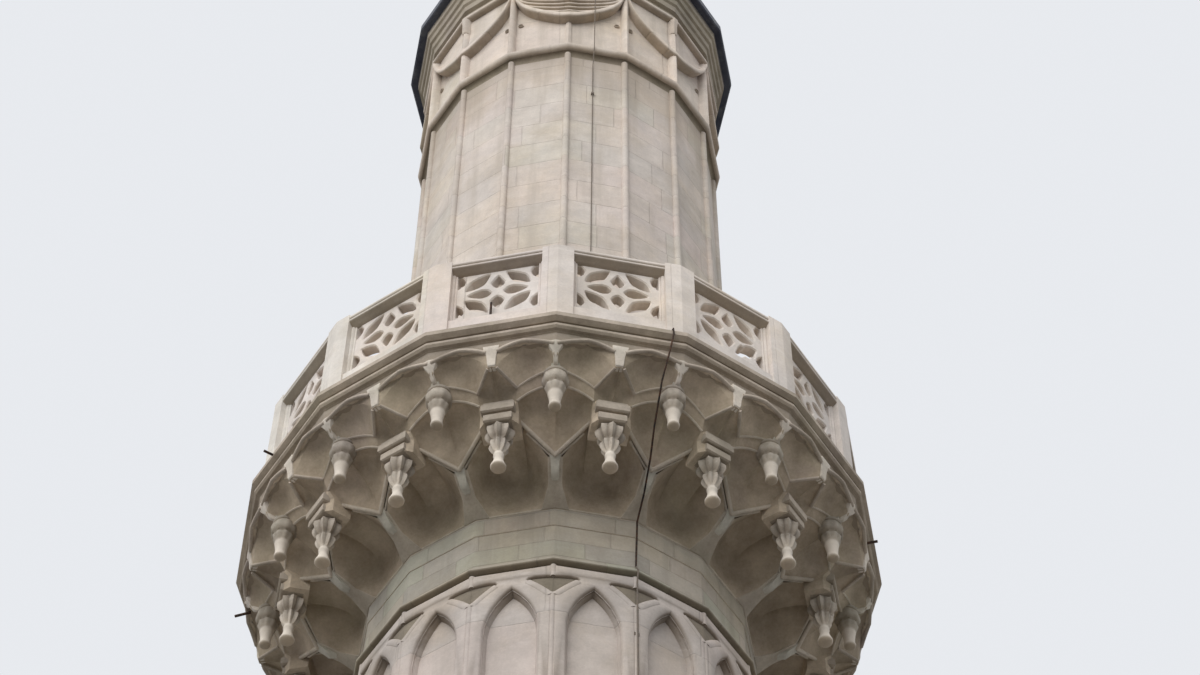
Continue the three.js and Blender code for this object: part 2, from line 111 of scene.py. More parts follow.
def add_camera():
    data = bpy.data.cameras.new("camera")
    data.lens = CAMERA_LENS
    data.sensor_width = SENSOR_WIDTH
    data.clip_end = CAMERA_REACH
    camera = bpy.data.objects.new("camera", data)
    heading = CAMERA_PAN - CAMERA_AZIMUTH
    ahead = Vector((math.sin(heading), math.cos(heading), 0))
    aside = Vector((math.cos(heading), -math.sin(heading), 0))
    forward = ahead * math.cos(CAMERA_PITCH) + UP * math.sin(CAMERA_PITCH)
    above = UP * math.cos(CAMERA_PITCH) - ahead * math.sin(CAMERA_PITCH)
    right = aside * math.cos(CAMERA_ROLL) - above * math.sin(CAMERA_ROLL)
    top = aside * math.sin(CAMERA_ROLL) + above * math.cos(CAMERA_ROLL)
    turn = Matrix((right, top, -forward)).transposed().to_4x4()
    from_tower = Vector((math.sin(CAMERA_AZIMUTH), -math.cos(CAMERA_AZIMUTH), 0))
    place = from_tower * CAMERA_DISTANCE + UP * CAMERA_HEIGHT
    camera.matrix_world = Matrix.Translation(place) @ turn
    bpy.context.scene.collection.objects.link(camera)
    bpy.context.scene.camera = camera


add_camera()


# Shader helpers
class Graph:
    """Shader nodes of a material or of the sky, linked as they are made."""

    def __init__(self, tree):
        self.tree = tree

    def node(self, kind, inputs=(), output=0, **settings):
        """A new node's output; each input is a socket to link or a value to set."""
        made = self.tree.nodes.new("ShaderNode" + kind)
        for key, value in settings.items():
            setattr(made, key, value)
        for key, value in dict(inputs).items():
            if isinstance(value, bpy.types.NodeSocket):
                self.tree.links.new(value, made.inputs[key])
            else:
                made.inputs[key].default_value = value
        return made.outputs[output]

    def calc(self, operation, first, second=0.0):
        return self.node("Math", {0: first, 1: second}, operation=operation)

    def times(self, first, second):
        return self.calc("MULTIPLY", first, second)

    def split(self, vector):
        return self.node("SeparateXYZ", {0: vector}).node.outputs

    def spread(self, value, start, end, first=0.0, last=1.0):
        """Values from start to end become first to last."""
        return self.node("MapRange", {"Value": value, 1: start, 2: end, 3: first, 4: last})

    def mix(self, share, base, over, blend="MIX"):
        base, over = ((*colour, 1) if isinstance(colour, tuple) else colour for colour in (base, over))
        return self.node("Mix", {0: share, 6: base, 7: over}, 2, data_type="RGBA", blend_type=blend)

    def tint(self, base, factor, share=1.0):
        return self.mix(share, base, factor, "MULTIPLY")


class Surface(Graph):
    """A material under construction: object coordinates in metres and a principled shader."""

    def __init__(self, name, roughness, metallic=0.0, specular=0.3):
        self.material = bpy.data.materials.new(name)
        self.material.use_nodes = True
        super().__init__(self.material.node_tree)
        self.shader = self.tree.nodes["Principled BSDF"].inputs
        self.shader["Roughness"].default_value = roughness
        self.shader["Metallic"].default_value = metallic
        self.shader["Specular IOR Level"].default_value = specular
        self.place = self.node("TexCoord", output="Object")

    def noise(self, scale, detail=4.0, roughness=0.55, stretch=None):
        place = self.node("Mapping", {0: self.place, 3: stretch}) if stretch else self.place
        inputs = {"Vector": place, "Scale": scale, "Detail": detail, "Roughness": roughness}
        return self.node("TexNoise", inputs, "Fac")

    def patches(self, pattern, start, end, first=0.0, last=1.0):
        """Noise of a (scale, detail, roughness, stretch) pattern, from start to end made first to last."""
        return self.spread(self.noise(*pattern), start, end, first, last)

    def paint_shade_below(self, base, underside_shade):
        """Faces that look down are painted darker and browner: painted shade."""
        down = self.split(self.node("NewGeometry", output="Normal"))[2]
        return self.tint(base, underside_shade, self.spread(down, -0.12, -0.70))

    def finish(self, colour, relief=None, strength=0.5, distance=0.01, roughness=None):
        self.tree.links.new(colour, self.shader["Base Color"])
        if roughness is not None:
            self.tree.links.new(roughness, self.shader["Roughness"])
        if relief is not None:
            bump = self.node("Bump", {"Height": relief, "Strength": strength, "Distance": distance})
            self.tree.links.new(bump, self.shader["Normal"])
        return self.material


def scaled(colour, factors):
    return tuple(part * factor for part, factor in zip(colour, factors))


def fractions(count):
    """Evenly spaced shares from 0 to 1."""
    return [i / count for i in range(count + 1)]


# Tints of single blocks: cream, pinkish, greenish, grey and honey, as factors on the stone's colour
BLOCK_TINTS = [
    (1.00, 1.00, 1.00), (1.02, 0.96, 0.95), (0.97, 1.00, 0.95),
    (0.93, 0.92, 0.92), (1.04, 1.01, 0.97), (0.98, 0.94, 0.90),
]
# Colour factors of the painted shade on faces that look down
DOWN_FACE_SHADE = (0.50, 0.455, 0.39)
JOINT_DIRT = (0.20, 0.17, 0.14)


def wall_length(stone, radius):
    """Length along a round wall of this radius or, without one, along the side of a square block."""
    x, y, _ = stone.split(stone.place)
    if radius:
        return stone.times(stone.calc("ARCTAN2", x, stone.times(y, -1.0)), radius)
    normal = stone.split(stone.node("NewGeometry", output="True Normal"))
    across, along = (stone.calc("ABSOLUTE", part) for part in normal[:2])
    side = stone.calc("GREATER_THAN", across, along)
    return stone.calc("ADD", x, stone.times(side, stone.calc("SUBTRACT", y, x)))


def block_tint(stone, chance, contrast):
    tint = stone.node("ValToRGB", {0: chance})
    elements = tint.node.color_ramp.elements
    while len(elements) < len(BLOCK_TINTS):
        elements.new(0.5)
    for element, place, colour in zip(elements, fractions(len(BLOCK_TINTS) - 1), BLOCK_TINTS):
        element.position = place
        element.color = (*(1 + (part - 1) * contrast for part in colour), 1)
    return tint


def ashlar(name, colour, radius, height, course, block, joint=0.004, contrast=1.0, stain=0.5, dark=0.62,
           seam_depth=0.28, underside_shade=DOWN_FACE_SHADE, darkening=None):
    """Coursed stone with a tint of its own on every block, thin joints, pitting and rain stains.
    `radius` is None on a square block, and the last argument gives two heights and a share: the stone gets
    darker from the first height to the second."""
    stone = Surface(name, 0.88)
    up = stone.split(stone.place)[2]
    rows = stone.calc("DIVIDE", stone.calc("SUBTRACT", up, height), course)
    row = stone.calc("FLOOR", rows)
    slip = stone.node("TexWhiteNoise", {"W": row}, "Value", noise_dimensions="1D")
    blocks = stone.calc("DIVIDE", wall_length(stone, radius), block)
    blocks = stone.calc("ADD", blocks, stone.times(slip, 7.0))
    address = stone.node("CombineXYZ", {0: row, 1: stone.calc("FLOOR", blocks)})
    chance = stone.node("TexWhiteNoise", {"Vector": address}, "Value", noise_dimensions="3D")
    from_edge = []
    for count, size in ((rows, course), (blocks, block)):
        part = stone.calc("FRACT", count)
        from_edge.append(stone.times(stone.calc("MINIMUM", part, stone.calc("SUBTRACT", 1.0, part)), size))
    wobble = stone.patches((9.0,), 0.3, 0.7, 0.35, 1.9)
    edge = stone.calc("DIVIDE", stone.calc("MINIMUM", *from_edge), wobble)
    seam = stone.spread(edge, joint * 0.5, joint * 1.6, 1.0, 0.0)
    base = stone.tint(colour, block_tint(stone, chance, contrast))
    clouds = stone.patches((1.5, 7.0, 0.7), 0.32, 0.68, 0.82, 1.10)
    mottle = stone.patches((6.5, 6.0, 0.68), 0.3, 0.7, 0.90, 1.07)
    grain = stone.patches((70.0, 3.0), 0.3, 0.7, 0.95, 1.04)
    base = stone.tint(base, stone.times(stone.times(clouds, mottle), grain))
    rosy = stone.patches((0.9, 5.0, 0.6), 0.5, 0.68, 0.0, 0.5)
    base = stone.tint(base, (1.0, 0.95, 0.93), rosy)
    warm = stone.patches((1.15, 6.0, 0.65), 0.44, 0.64, 0.0, 0.7)
    base = stone.tint(base, (0.95, 0.90, 0.80), warm)
    lime = stone.patches((3.4, 6.0, 0.7, (1.0, 1.0, 2.6)), 0.56, 0.70, 0.0, 0.35)
    base = stone.mix(lime, base, tuple(min(part * 1.22, 0.9) for part in colour))
    runs = stone.noise(1.3, 5.0, 0.6, (5.0, 5.0, 0.35))
    stains = stone.spread(runs, 0.50, 0.72, 0.0, stain)
    base = stone.mix(stains, base, scaled(colour, (dark, dark * 0.97, dark * 0.90)))
    # Darker from the first height to the second
    if darkening:
        start, end, share = darkening
        ragged = stone.calc("ADD", up, stone.spread(runs, 0.3, 0.7, -0.22, 0.22))
        under = stone.spread(ragged, start, end, 0.0, share)
        base = stone.mix(under, base, scaled(colour, (0.55, 0.50, 0.42)))
    base = stone.mix(stone.times(seam, seam_depth), base, JOINT_DIRT)
    relief = stone.calc("SUBTRACT", stone.times(stone.noise(42.0, 5.0, 0.7), 0.45), seam)
    relief = stone.calc("ADD", relief, stone.times(chance, 0.25))
    # Faces that look down get painted shade
    return stone.finish(stone.paint_shade_below(base, underside_shade), relief, 0.5, 0.006)


def carved(name, light, dark, edges, darkening, underside_shade=None, painted_light_by_height=None):
    """Carved stone: lighter on edges that stand out and darker in the hollows, by pointiness: painted
    highlights and painted shade, with some wear and grime.
    The last argument gives two heights and a colour: the stone takes that colour on its way from one to the
    other, as a change of painted light and shade by height."""
    stone = Surface(name, 0.9)
    middle = tuple(a * 0.55 + b * 0.45 for a, b in zip(light, dark))
    # Pointiness paints highlights on edges that stand out and shade in the hollows
    base = stone.mix(stone.spread(stone.node("NewGeometry", output="Pointiness"), *edges), middle, light)
    patches = stone.noise(5.5, 6.0, 0.65)
    base = stone.mix(stone.spread(patches, 0.35, 0.68, 0.0, darkening), base, dark)
    green = stone.patches((1.7, 3.0), 0.5, 0.75, 0.0, 0.35)
    base = stone.mix(green, base, scaled(middle, (0.86, 0.96, 0.86)))
    mauve = stone.patches((1.9, 4.0, 0.55, (1.0, 1.0, 1.4)), 0.54, 0.74, 0.0, 0.4)
    base = stone.mix(mauve, base, scaled(middle, (0.84, 0.82, 0.98)))
    grain = stone.patches((60.0, 3.0), 0.3, 0.7, 0.92, 1.06)
    clouds = stone.patches((2.3, 6.0, 0.65), 0.32, 0.68, 0.80, 1.16)
    base = stone.tint(base, stone.times(grain, clouds))
    # Painted light and shade by height: the drops lighter below their necks, the cornice darker at its foot
    if painted_light_by_height:
        start, end, colour = painted_light_by_height
        share = stone.spread(stone.split(stone.place)[2], start, end)
        base = stone.mix(stone.times(share, stone.spread(patches, 0.3, 0.7, 1.0, 0.6)), base, colour)
    # Faces that look down get painted shade
    if underside_shade:
        base = stone.paint_shade_below(base, underside_shade)
    return stone.finish(base, stone.noise(38.0, 6.0, 0.7), 0.45, 0.006)


def sheet_lead():
    metal = Surface("sheet_lead", 0.5, 0.75, 0.5)
    bloom = metal.noise(3.2, 6.0, 0.65)
    base = metal.mix(metal.spread(bloom, 0.35, 0.7), (0.045, 0.05, 0.075), (0.13, 0.14, 0.17))
    runs = metal.patches((1.6, 5.0, 0.55, (6.0, 6.0, 0.5)), 0.52, 0.7, 0.0, 0.5)
    base = metal.mix(runs, base, (0.20, 0.21, 0.22))
    return metal.finish(base, metal.noise(7.0), 0.35, 0.02, metal.spread(bloom, 0.3, 0.7, 0.38, 0.62))


def gilding():
    metal = Surface("gilding", 0.3, 1.0, 0.5)
    wear = metal.noise(9.0, 6.0, 0.6)
    base = metal.mix(metal.spread(wear, 0.45, 0.75), (0.72, 0.50, 0.16), (0.34, 0.24, 0.11))
    return metal.finish(base, wear, 0.15, 0.01, metal.spread(wear, 0.3, 0.8, 0.22, 0.5))


def planks():
    wood = Surface("oak_planks", 0.7)
    board = wood.calc("FLOOR", wood.calc("DIVIDE", wood.split(wood.place)[0], 0.137))
    shade = wood.node("TexWhiteNoise", {"W": board}, "Value", noise_dimensions="1D")
    grain = wood.noise(1.0, 8.0, 0.65, (38.0, 38.0, 2.2))
    base = wood.mix(wood.spread(grain, 0.35, 0.65), (0.07, 0.042, 0.024), (0.21, 0.135, 0.08))
    return wood.finish(wood.tint(base, wood.spread(shade, 0.0, 1.0, 0.75, 1.1)), grain, 0.5, 0.004)


def iron(name, dull, rust_tone):
    metal = Surface(name, 0.7, 0.5)
    rust = metal.noise(30.0, 6.0, 0.7)
    return metal.finish(metal.mix(metal.spread(rust, 0.4, 0.7), dull, rust_tone), rust, 0.3, 0.003)


def plain_floor():
    ground = Surface("pale_floor", 0.9)
    return ground.finish(ground.tint((0.62, 0.61, 0.60), ground.patches((0.6, 3.0), 0.3, 0.7, 0.97, 1.0)))


CREAM = (0.655, 0.600, 0.560)
PALE = (0.73, 0.685, 0.655)
SHAFT_CREAM = (0.53, 0.485, 0.455)
UPPER_NECK, LOWER_NECK = FLOOR - 0.60, FLOOR - 0.92

# Coursed stones: colour, radius of the wall, level of a joint, height of a course, length of a block
shaft_stone = ashlar("shaft_ashlar", SHAFT_CREAM, SHAFT_RADIUS, 0.0, 0.30, 0.56)
arcade_stone = ashlar("arcade_stone", SHAFT_CREAM, BAND_RADIUS, ARCADE_BOTTOM, 0.9, 1.06,
                      contrast=0.7, stain=0.35, seam_depth=0.12)
upper_stone = ashlar("upper_shaft_ashlar", CREAM, UPPER_RADIUS, FLOOR, 0.315, 0.62, contrast=0.62, stain=0.6,
                     dark=0.70, seam_depth=0.16, darkening=(FLOOR + 4.75, FLOOR + 5.55, 0.55))
band_stone = ashlar("band_ashlar", (0.43, 0.405, 0.355), BAND_RADIUS, CORBEL_BOTTOM, 0.155, 0.44,
                    contrast=1.1, stain=0.6, seam_depth=0.22)
base_stone = ashlar("base_ashlar", SHAFT_CREAM, None, 0.3, 0.32, 0.66, stain=0.4)
parapet_stone = ashlar("parapet_stone", PALE, CORNICE_RADIUS, FLOOR - 2.0, 4.0, 0.895,
                       joint=0.002, contrast=0.6, stain=0.25, seam_depth=0.1)
tracery_stone = ashlar("tracery_stone", PALE, CORNICE_RADIUS, FLOOR - 2.0, 4.0, 9.0,
                       contrast=0.2, stain=0.3, underside_shade=(1.0, 0.97, 0.92))
frieze_stone = ashlar("frieze_stone", (0.71, 0.645, 0.585), UPPER_RADIUS, RING_TOP, 0.62, 0.98,
                      contrast=0.6, stain=0.6, seam_depth=0.12, underside_shade=(0.68, 0.63, 0.56))

# Carved stones: light, dark, pointiness of hollows and of edges for painted shade and highlights, darkening
# in patches, painted shade on undersides, painted light and shade by height
hollow_stone = carved("corbel_stone", (0.63, 0.53, 0.41), (0.25, 0.195, 0.135), (0.46, 0.58), 0.6)
ridge_stone = carved("ridge_stone", (0.60, 0.53, 0.44), (0.30, 0.245, 0.18), (0.38, 0.58), 0.5)
# The cornice is painted darker towards its foot: painted shade
cornice_stone = carved("cornice_stone", (0.50, 0.43, 0.36), (0.20, 0.165, 0.12), (0.44, 0.60), 0.5,
                       (0.88, 0.85, 0.80), (FLOOR - 0.165, FLOOR - 0.195, (0.33, 0.28, 0.225)))
edge_stone = carved("worn_edges", (0.62, 0.545, 0.465), (0.24, 0.195, 0.15), (0.42, 0.58), 0.55,
                    (0.85, 0.83, 0.80))
tab_stone = carved("worn_tabs", (0.80, 0.73, 0.64), (0.42, 0.36, 0.29), (0.38, 0.56), 0.45)
slab_stone = carved("slab_stone", (0.54, 0.475, 0.40), (0.22, 0.18, 0.135), (0.42, 0.58), 0.55,
                    (0.8, 0.77, 0.73))
foot_stone = carved("foot_stone", (0.50, 0.44, 0.36), (0.27, 0.22, 0.165), (0.42, 0.56), 0.45)
tongue_stone = carved("tongue_stone", (0.56, 0.53, 0.455), (0.36, 0.325, 0.26), (0.42, 0.56), 0.35)
# Both drop stones are painted lighter below their necks: painted light
upper_drop_stone = carved("upper_drop_stone", (0.50, 0.45, 0.385), (0.19, 0.155, 0.12), (0.47, 0.54), 0.5,
                          (0.60, 0.55, 0.475), (UPPER_NECK + 0.08, UPPER_NECK, (0.74, 0.67, 0.585)))
lower_drop_stone = carved("lower_drop_stone", (0.56, 0.50, 0.43), (0.16, 0.13, 0.10), (0.48, 0.54), 0.55,
                          (0.66, 0.60, 0.52), (LOWER_NECK + 0.06, LOWER_NECK - 0.01, (0.80, 0.73, 0.64)))
boss_stone = carved("boss_stone", (0.44, 0.37, 0.30), (0.25, 0.20, 0.15), (0.46, 0.58), 0.5)
# Dark stone for the spandrel hollows: painted shade
spandrel_painted_shade = carved("painted_spandrel_shade", (0.25, 0.215, 0.17), (0.14, 0.115, 0.085), (0.42, 0.60), 0.5)
# Dark stone for the cove under the ring: painted shade
cove_painted_shade = carved("painted_cove_shade", (0.36, 0.31, 0.245), (0.22, 0.18, 0.13), (0.42, 0.60), 0.5,
                    (0.8, 0.77, 0.72))
# Darker stone under the eave: painted shade of the eave, with some dirt
soffit_shade_and_dirt = carved("soffit_shade_and_dirt", (0.44, 0.39, 0.32), (0.24, 0.20, 0.15), (0.44, 0.58), 0.5,
                      (0.88, 0.84, 0.78))
lead = sheet_lead()
gold = gilding()
oak = planks()
rusty = iron("rusty_iron", (0.03, 0.028, 0.027), (0.13, 0.062, 0.035))
dull_wire = iron("dull_wire", (0.17, 0.15, 0.13), (0.24, 0.19, 0.15))
eave_lead = iron("dull_lead", (0.33, 0.31, 0.35), (0.25, 0.23, 0.25))


# Mesh helpers
class Shape:
    """Points and faces collected for one piece."""

    def __init__(self, points=(), faces=()):
        self.points = list(points)
        self.faces = list(faces)

    def add(self, points):
        start = len(self.points)
        self.points.extend(Vector(point) for point in points)
        return list(range(start, len(self.points)))

    def grid(self, rows, around=False, ends=False, closed=False):
        """Quads between rows of equal length. `around` joins each row's end to its start, `closed` the
        last row to the first, and `ends` puts a face on the first row and on the last."""
        index = [self.add(row) for row in rows]
        for lower, upper in zip(index, index[1:] + (index[:1] if closed else [])):
            pairs = list(zip(lower, upper))
            for (a, d), (b, c) in zip(pairs, pairs[1:] + (pairs[:1] if around else [])):
                self.faces.append((a, b, c, d))
        if ends:
            self.faces += [tuple(index[0][::-1]), tuple(index[-1])]

    def solid(self, rows):
        """A closed body through rows that each go round it."""
        self.grid(rows, around=True, ends=True)

    def copies(self, turns):
        """The same shape turned to several bays."""
        points, faces = self.points, self.faces
        self.points, self.faces = [], []
        for bay in turns:
            turn = Matrix.Rotation(bay * BAY, 3, "Z")
            start = len(self.points)
            self.points += [turn @ point for point in points]
            self.faces += [tuple(start + i for i in face) for face in faces]
        return self


def new_object(name, shape, material):
    mesh = bpy.data.meshes.new(name)
    mesh.from_pydata([tuple(point) for point in shape.points], [], shape.faces)
    mesh.materials.append(material)
    made = bpy.data.objects.new(name, mesh)
    bpy.context.scene.collection.objects.link(made)
    return made


def make(name, shape, material, nodes=(), smooth=None, weld=0.00005, bevel=0.0):
    """One piece of the scene: it rides on the tower and takes the material given."""
    piece = new_object(name, shape, material)
    work = bmesh.new()
    work.from_mesh(piece.data)
    bmesh.ops.remove_doubles(work, verts=work.verts, dist=weld)
    bmesh.ops.dissolve_degenerate(work, edges=work.edges, dist=weld)
    bmesh.ops.recalc_face_normals(work, faces=work.faces)
    work.to_mesh(piece.data)
    work.free()
    if smooth is not None:
        piece.data.shade_smooth()
        piece.data.set_sharp_from_angle(angle=math.radians(smooth))
    if bevel:
        rounding = piece.modifiers.new("bevel", "BEVEL")
        rounding.width = bevel
        rounding.segments = 2
        rounding.limit_method = "ANGLE"
    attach(piece, "root")
    if nodes:
        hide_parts(*nodes)


def lerp(first, second, amount):
    return first + (second - first) * amount


def circle(count):
    """Angles of the points of a circle."""
    return [2 * math.pi * i / count for i in range(count)]


def at(radius, bay, height):
    """A point by radius, bay and height."""
    return Vector((radius * math.sin(bay * BAY), -radius * math.cos(bay * BAY), height))


def rightwards(bay):
    return Vector((math.cos(bay * BAY), math.sin(bay * BAY), 0))


def on_face(bay, apothem, along, height):
    """A point on an upright plane that faces a bay, by its distance to the right of the middle."""
    return at(1.0, bay, 0.0) * apothem + rightwards(bay) * along + UP * height


def flat_radius(corner_radius, bay):
    """Distance from the axis to the side of a sixteen-sided ring at any bay."""
    return corner_radius * FACE / math.cos((bay - math.floor(bay) - 0.5) * BAY)


def on_ring(corner_radius, bay, height, proud=0.0):
    """A point on the side of a sixteen-sided ring, or proud of it."""
    return at(flat_radius(corner_radius, bay) + proud, bay, height)


def from_axis(point):
    return Vector((point[0], point[1], 0)).normalized()


def turned(shape, profile, segments, axis=0.0, depth=0.0):
    """A turned form, its upright axis in front of the tower's. A third value in a row of the profile
    is the share of the depth that eight flutes have there."""
    rows = []
    for radius, height, *share in profile:
        flutes = [radius * (1 + depth * sum(share) * math.cos(8 * angle)) for angle in circle(segments)]
        rows.append([(wide * math.sin(angle), -axis - wide * math.cos(angle), height)
                     for angle, wide in zip(circle(segments), flutes)])
    shape.solid(rows)


def oval(out, rise, wide, tall, angles):
    """An oval as (distance out, rise)."""
    return [(out + wide * math.cos(angle), rise + tall * math.sin(angle)) for angle in angles]


def ring(shape, radius, level, section):
    """A sixteen-sided ring swept from a closed section of (distance past the radius, rise over the level)."""
    rows = [[at(radius + out, bay, level + rise) for out, rise in section] for bay in CORNERS]
    shape.grid(rows, around=True, closed=True)


def rod(shape, path, radius, sides=8, outward=UP):
    """A round bar along a path. The first point of its section faces `outward`, a direction or a function
    that gives one for a point."""
    rows = []
    for i, point in enumerate(path):
        along = (path[min(i + 1, len(path) - 1)] - path[max(i - 1, 0)]).normalized()
        face = outward(point) if callable(outward) else outward
        face = (face - along * face.dot(along)).normalized()
        side = along.cross(face)
        size = radius[i] if isinstance(radius, list) else radius
        section = [face * math.cos(turn) + side * math.sin(turn) for turn in circle(sides)]
        rows.append([point + offset * size for offset in section])
    shape.solid(rows)


# Carved corbelling: a net of ridges with a concave cell in every mesh of it.
# Each knot is (bays from its corner, radius, height over the balcony floor).
FOOT_LINE = -0.930
BRACKET = (0.0, 1.635, -0.740)
SLAB_LOW = (0.335, 1.800, -0.575)
SLAB_HIGH = (0.335, 1.925, -0.510)
WING_END = (0.330, 1.975, -0.430)
DROP_LOW = (0.0, 1.990, -0.450)
DROP_HIGH = (0.0, 2.065, -0.360)
MIDDLE_TAB = (0.465, 2.140, -0.405)
CORNER_TAB = (0.010, 2.150, -0.325)
CORNER_END = (0.012, 2.176, -0.252)
RIM = (0.250, 2.190, -0.225)
TAB_TOP = (0.455, 2.172, -0.264)
RIM_RADIUS = 2.196
MIDDLE_RADIUS = 2.150
# Reach of the pilasters, of the niche's foot and of its back, as shares of half a bay from the middle
PILASTER_EDGE = 0.86
FOOT_EDGE = 0.66
NICHE_BACK = 0.34
NICHE_COLUMNS = [0.0, 0.12, 0.24, 0.34, 0.42, 0.50, 0.57, 0.63, 0.68, 0.72, 0.76, 0.80, 0.83, 0.86, 0.90,
                 0.95, 1.0]
NICHE_ROWS, CELL_ROWS = 18, 12
NICHE_SHELF = BRACKET[1] - 0.008
FOOT_RADIUS = BAND_RADIUS + 0.004


def knot(entry, mirror=1, shift=0.0):
    bay, radius, height = entry
    return at(radius, shift + mirror * bay, FLOOR + height)


def hump(amount):
    """Parabola that is 0 at both ends and 1 in the middle."""
    return 4 * amount * (1 - amount)


def arched(first, second, count, lift=0.0):
    """Line between two points, arched upwards."""
    return [lerp(first, second, t) + UP * (lift * hump(t)) for t in fractions(count)]


def resampled(path, count):
    """The same broken line with evenly spaced points."""
    lengths = [0.0]
    for before, after in zip(path, path[1:]):
        lengths.append(lengths[-1] + (after - before).length)
    points = []
    leg = 0
    for t in fractions(count):
        target = t * lengths[-1]
        while leg < len(path) - 2 and lengths[leg + 1] < target:
            leg += 1
        span = lengths[leg + 1] - lengths[leg]
        points.append(lerp(path[leg], path[leg + 1], min((target - lengths[leg]) / span, 1.0)))
    return points


def cell(shape, bottom, top, left, right, rise, power=0.8):
    """Concave cell between four edges, all given upwards or towards the right."""
    rows = []
    for q, start, end in zip(fractions(len(left) - 1), left, right):
        row = []
        for p, lower, upper in zip(fractions(len(bottom) - 1), bottom, top):
            flat = lerp(lerp(bottom[0], bottom[-1], p), lerp(top[0], top[-1], p), q)
            lift = UP * (rise * hump(p) ** power * hump(q) ** power)
            row.append(lerp(lower, upper, q) + lerp(start, end, p) - flat + lift)
        rows.append(row)
    shape.grid(rows)


def niche_edge(amount):
    """How far the niche reaches towards the corners, from its foot to its top."""
    return lerp(FOOT_EDGE, PILASTER_EDGE, min(amount * 2.2, 1.0) ** 0.7)


def niche_point(side, amount):
    """A point of the lower tier: flat pilasters on the corners, a scooped niche between them.
    Side runs from corner to corner as -1 to 1, and amount from foot to top as 0 to 1."""
    bay = 0.5 + side / 2
    reach = abs(side)
    foot = on_ring(FOOT_RADIUS, bay, FLOOR + FOOT_LINE)
    if reach >= PILASTER_EDGE:
        top = at(NICHE_SHELF, bay, FLOOR + BRACKET[2])
    elif reach > NICHE_BACK:
        slab = knot(SLAB_LOW, 1, 0) if side < 0 else knot(SLAB_LOW, -1, 1)
        edge = at(NICHE_SHELF, 0.5 + math.copysign(PILASTER_EDGE, side) / 2, FLOOR + BRACKET[2])
        top = lerp(edge, slab, (PILASTER_EDGE - reach) / (PILASTER_EDGE - NICHE_BACK))
    else:
        top = at(SLAB_LOW[1], bay, FLOOR + SLAB_LOW[2] + 0.02)
    turn = amount * math.pi / 2
    across, rise = 1 - math.cos(turn), math.sin(turn)
    belly = (UP * 0.07 - from_axis(foot) * 0.045) * math.sin(2 * turn)
    scooped = foot + (top - foot) * Vector((across, across, rise)) + belly
    return lerp(lerp(foot, top, amount), scooped, max(1 - (reach / niche_edge(amount)) ** 3.2, 0.0))


def carve_upper_cells(shape, mirror, shift):
    """Half a bay of the cells over the niches, from a corner to the middle of the bay."""
    bracket, drop_low, drop_high = (knot(entry, 1, shift) for entry in (BRACKET, DROP_LOW, DROP_HIGH))
    slab_low, slab_high, wing_end, tab, corner_tab, corner_end, rim, tab_top = (
        knot(entry, mirror, shift)
        for entry in (SLAB_LOW, SLAB_HIGH, WING_END, MIDDLE_TAB, CORNER_TAB, CORNER_END, RIM, TAB_TOP)
    )
    count = CELL_ROWS
    arch = arched(drop_low, slab_high, count, 0.045)
    wing = arched(drop_high, wing_end, count, 0.030)
    cell(shape, arched(bracket, slab_low, count), arch,
         arched(bracket, drop_low, count, 0.075), arched(slab_low, slab_high, count), 0.055)
    cell(shape, arch, wing, arched(drop_low, drop_high, 4), arched(slab_high, wing_end, 4), 0.012)
    top = resampled(arched(corner_end, rim, 6, 0.008) + arched(rim, tab_top, 6, 0.010)[1:], count)
    cell(shape, wing, top, resampled([drop_high, corner_tab, corner_end], count),
         resampled([wing_end, tab, tab_top], count), 0.115, 0.7)
    middle = at(MIDDLE_RADIUS, 0.5, FLOOR + MIDDLE_TAB[2])
    slab_middle = at(SLAB_HIGH[1] * FACE / math.cos(0.165 * BAY) * 0.985, 0.5, FLOOR + SLAB_HIGH[2])
    cell(shape, arched(slab_high, slab_middle, 6), arched(tab, middle, 6),
         resampled([slab_high, wing_end, tab], count), arched(slab_middle, middle, count, 0.02), 0.04)
    top_middle = at(MIDDLE_RADIUS, 0.5, FLOOR + TAB_TOP[2])
    shape.grid([arched(tab, middle, 6), arched(tab_top, top_middle, 6)])
    spots = [0.5 * t for t in fractions(count + 2)]
    lintel = [at(flat_radius(RIM_RADIUS, b), shift + mirror * b, FLOOR + RIM[2]) for b in spots]
    shape.grid([[corner_end] + top + [top_middle], lintel])


def at_level(points, height):
    return [Vector((*point.xy, height)) for point in points]


def carve_corbelling():
    shape = Shape()
    columns = [-side for side in NICHE_COLUMNS[:0:-1]] + NICHE_COLUMNS
    rows = [[niche_point(side, t ** 1.15) for side in columns] for t in fractions(NICHE_ROWS)]
    shape.grid(rows)
    for mirror, shift in ((1, 0), (-1, 1)):
        carve_upper_cells(shape, mirror, shift)
    bays = fractions(24)
    rim = [on_ring(RIM_RADIUS, bay, FLOOR + RIM[2]) for bay in bays]
    first, last = at(CORE_RADIUS, 0, 0), at(CORE_RADIUS, 1, 0)
    lid = at_level([lerp(first, last, bay) for bay in bays], CORNICE_BOTTOM + 0.001)
    shape.grid([rim, at_level(rim, CORNICE_BOTTOM + 0.001), lid])
    under = at_level([lerp(first, last, (side + 1) / 2) for side in columns], CORBEL_BOTTOM)
    shape.grid([under, at_level(rows[0], CORBEL_BOTTOM), rows[0]])
    shape.faces.append(tuple(shape.add(lid) + shape.add(under[::-1])))
    make("corbelling_carving", shape.copies(CORNERS), hollow_stone,
         ("corbelling_lower_tier", "corbelling_upper_tier"), smooth=32, weld=0.0004)


def beside(path, aside, drop=0.0):
    """The same line, moved sideways and down."""
    moved = []
    for i, point in enumerate(path):
        along = path[min(i + 1, len(path) - 1)] - path[max(i - 1, 0)]
        moved.append(point + UP.cross(along).normalized() * aside - UP * drop)
    return moved


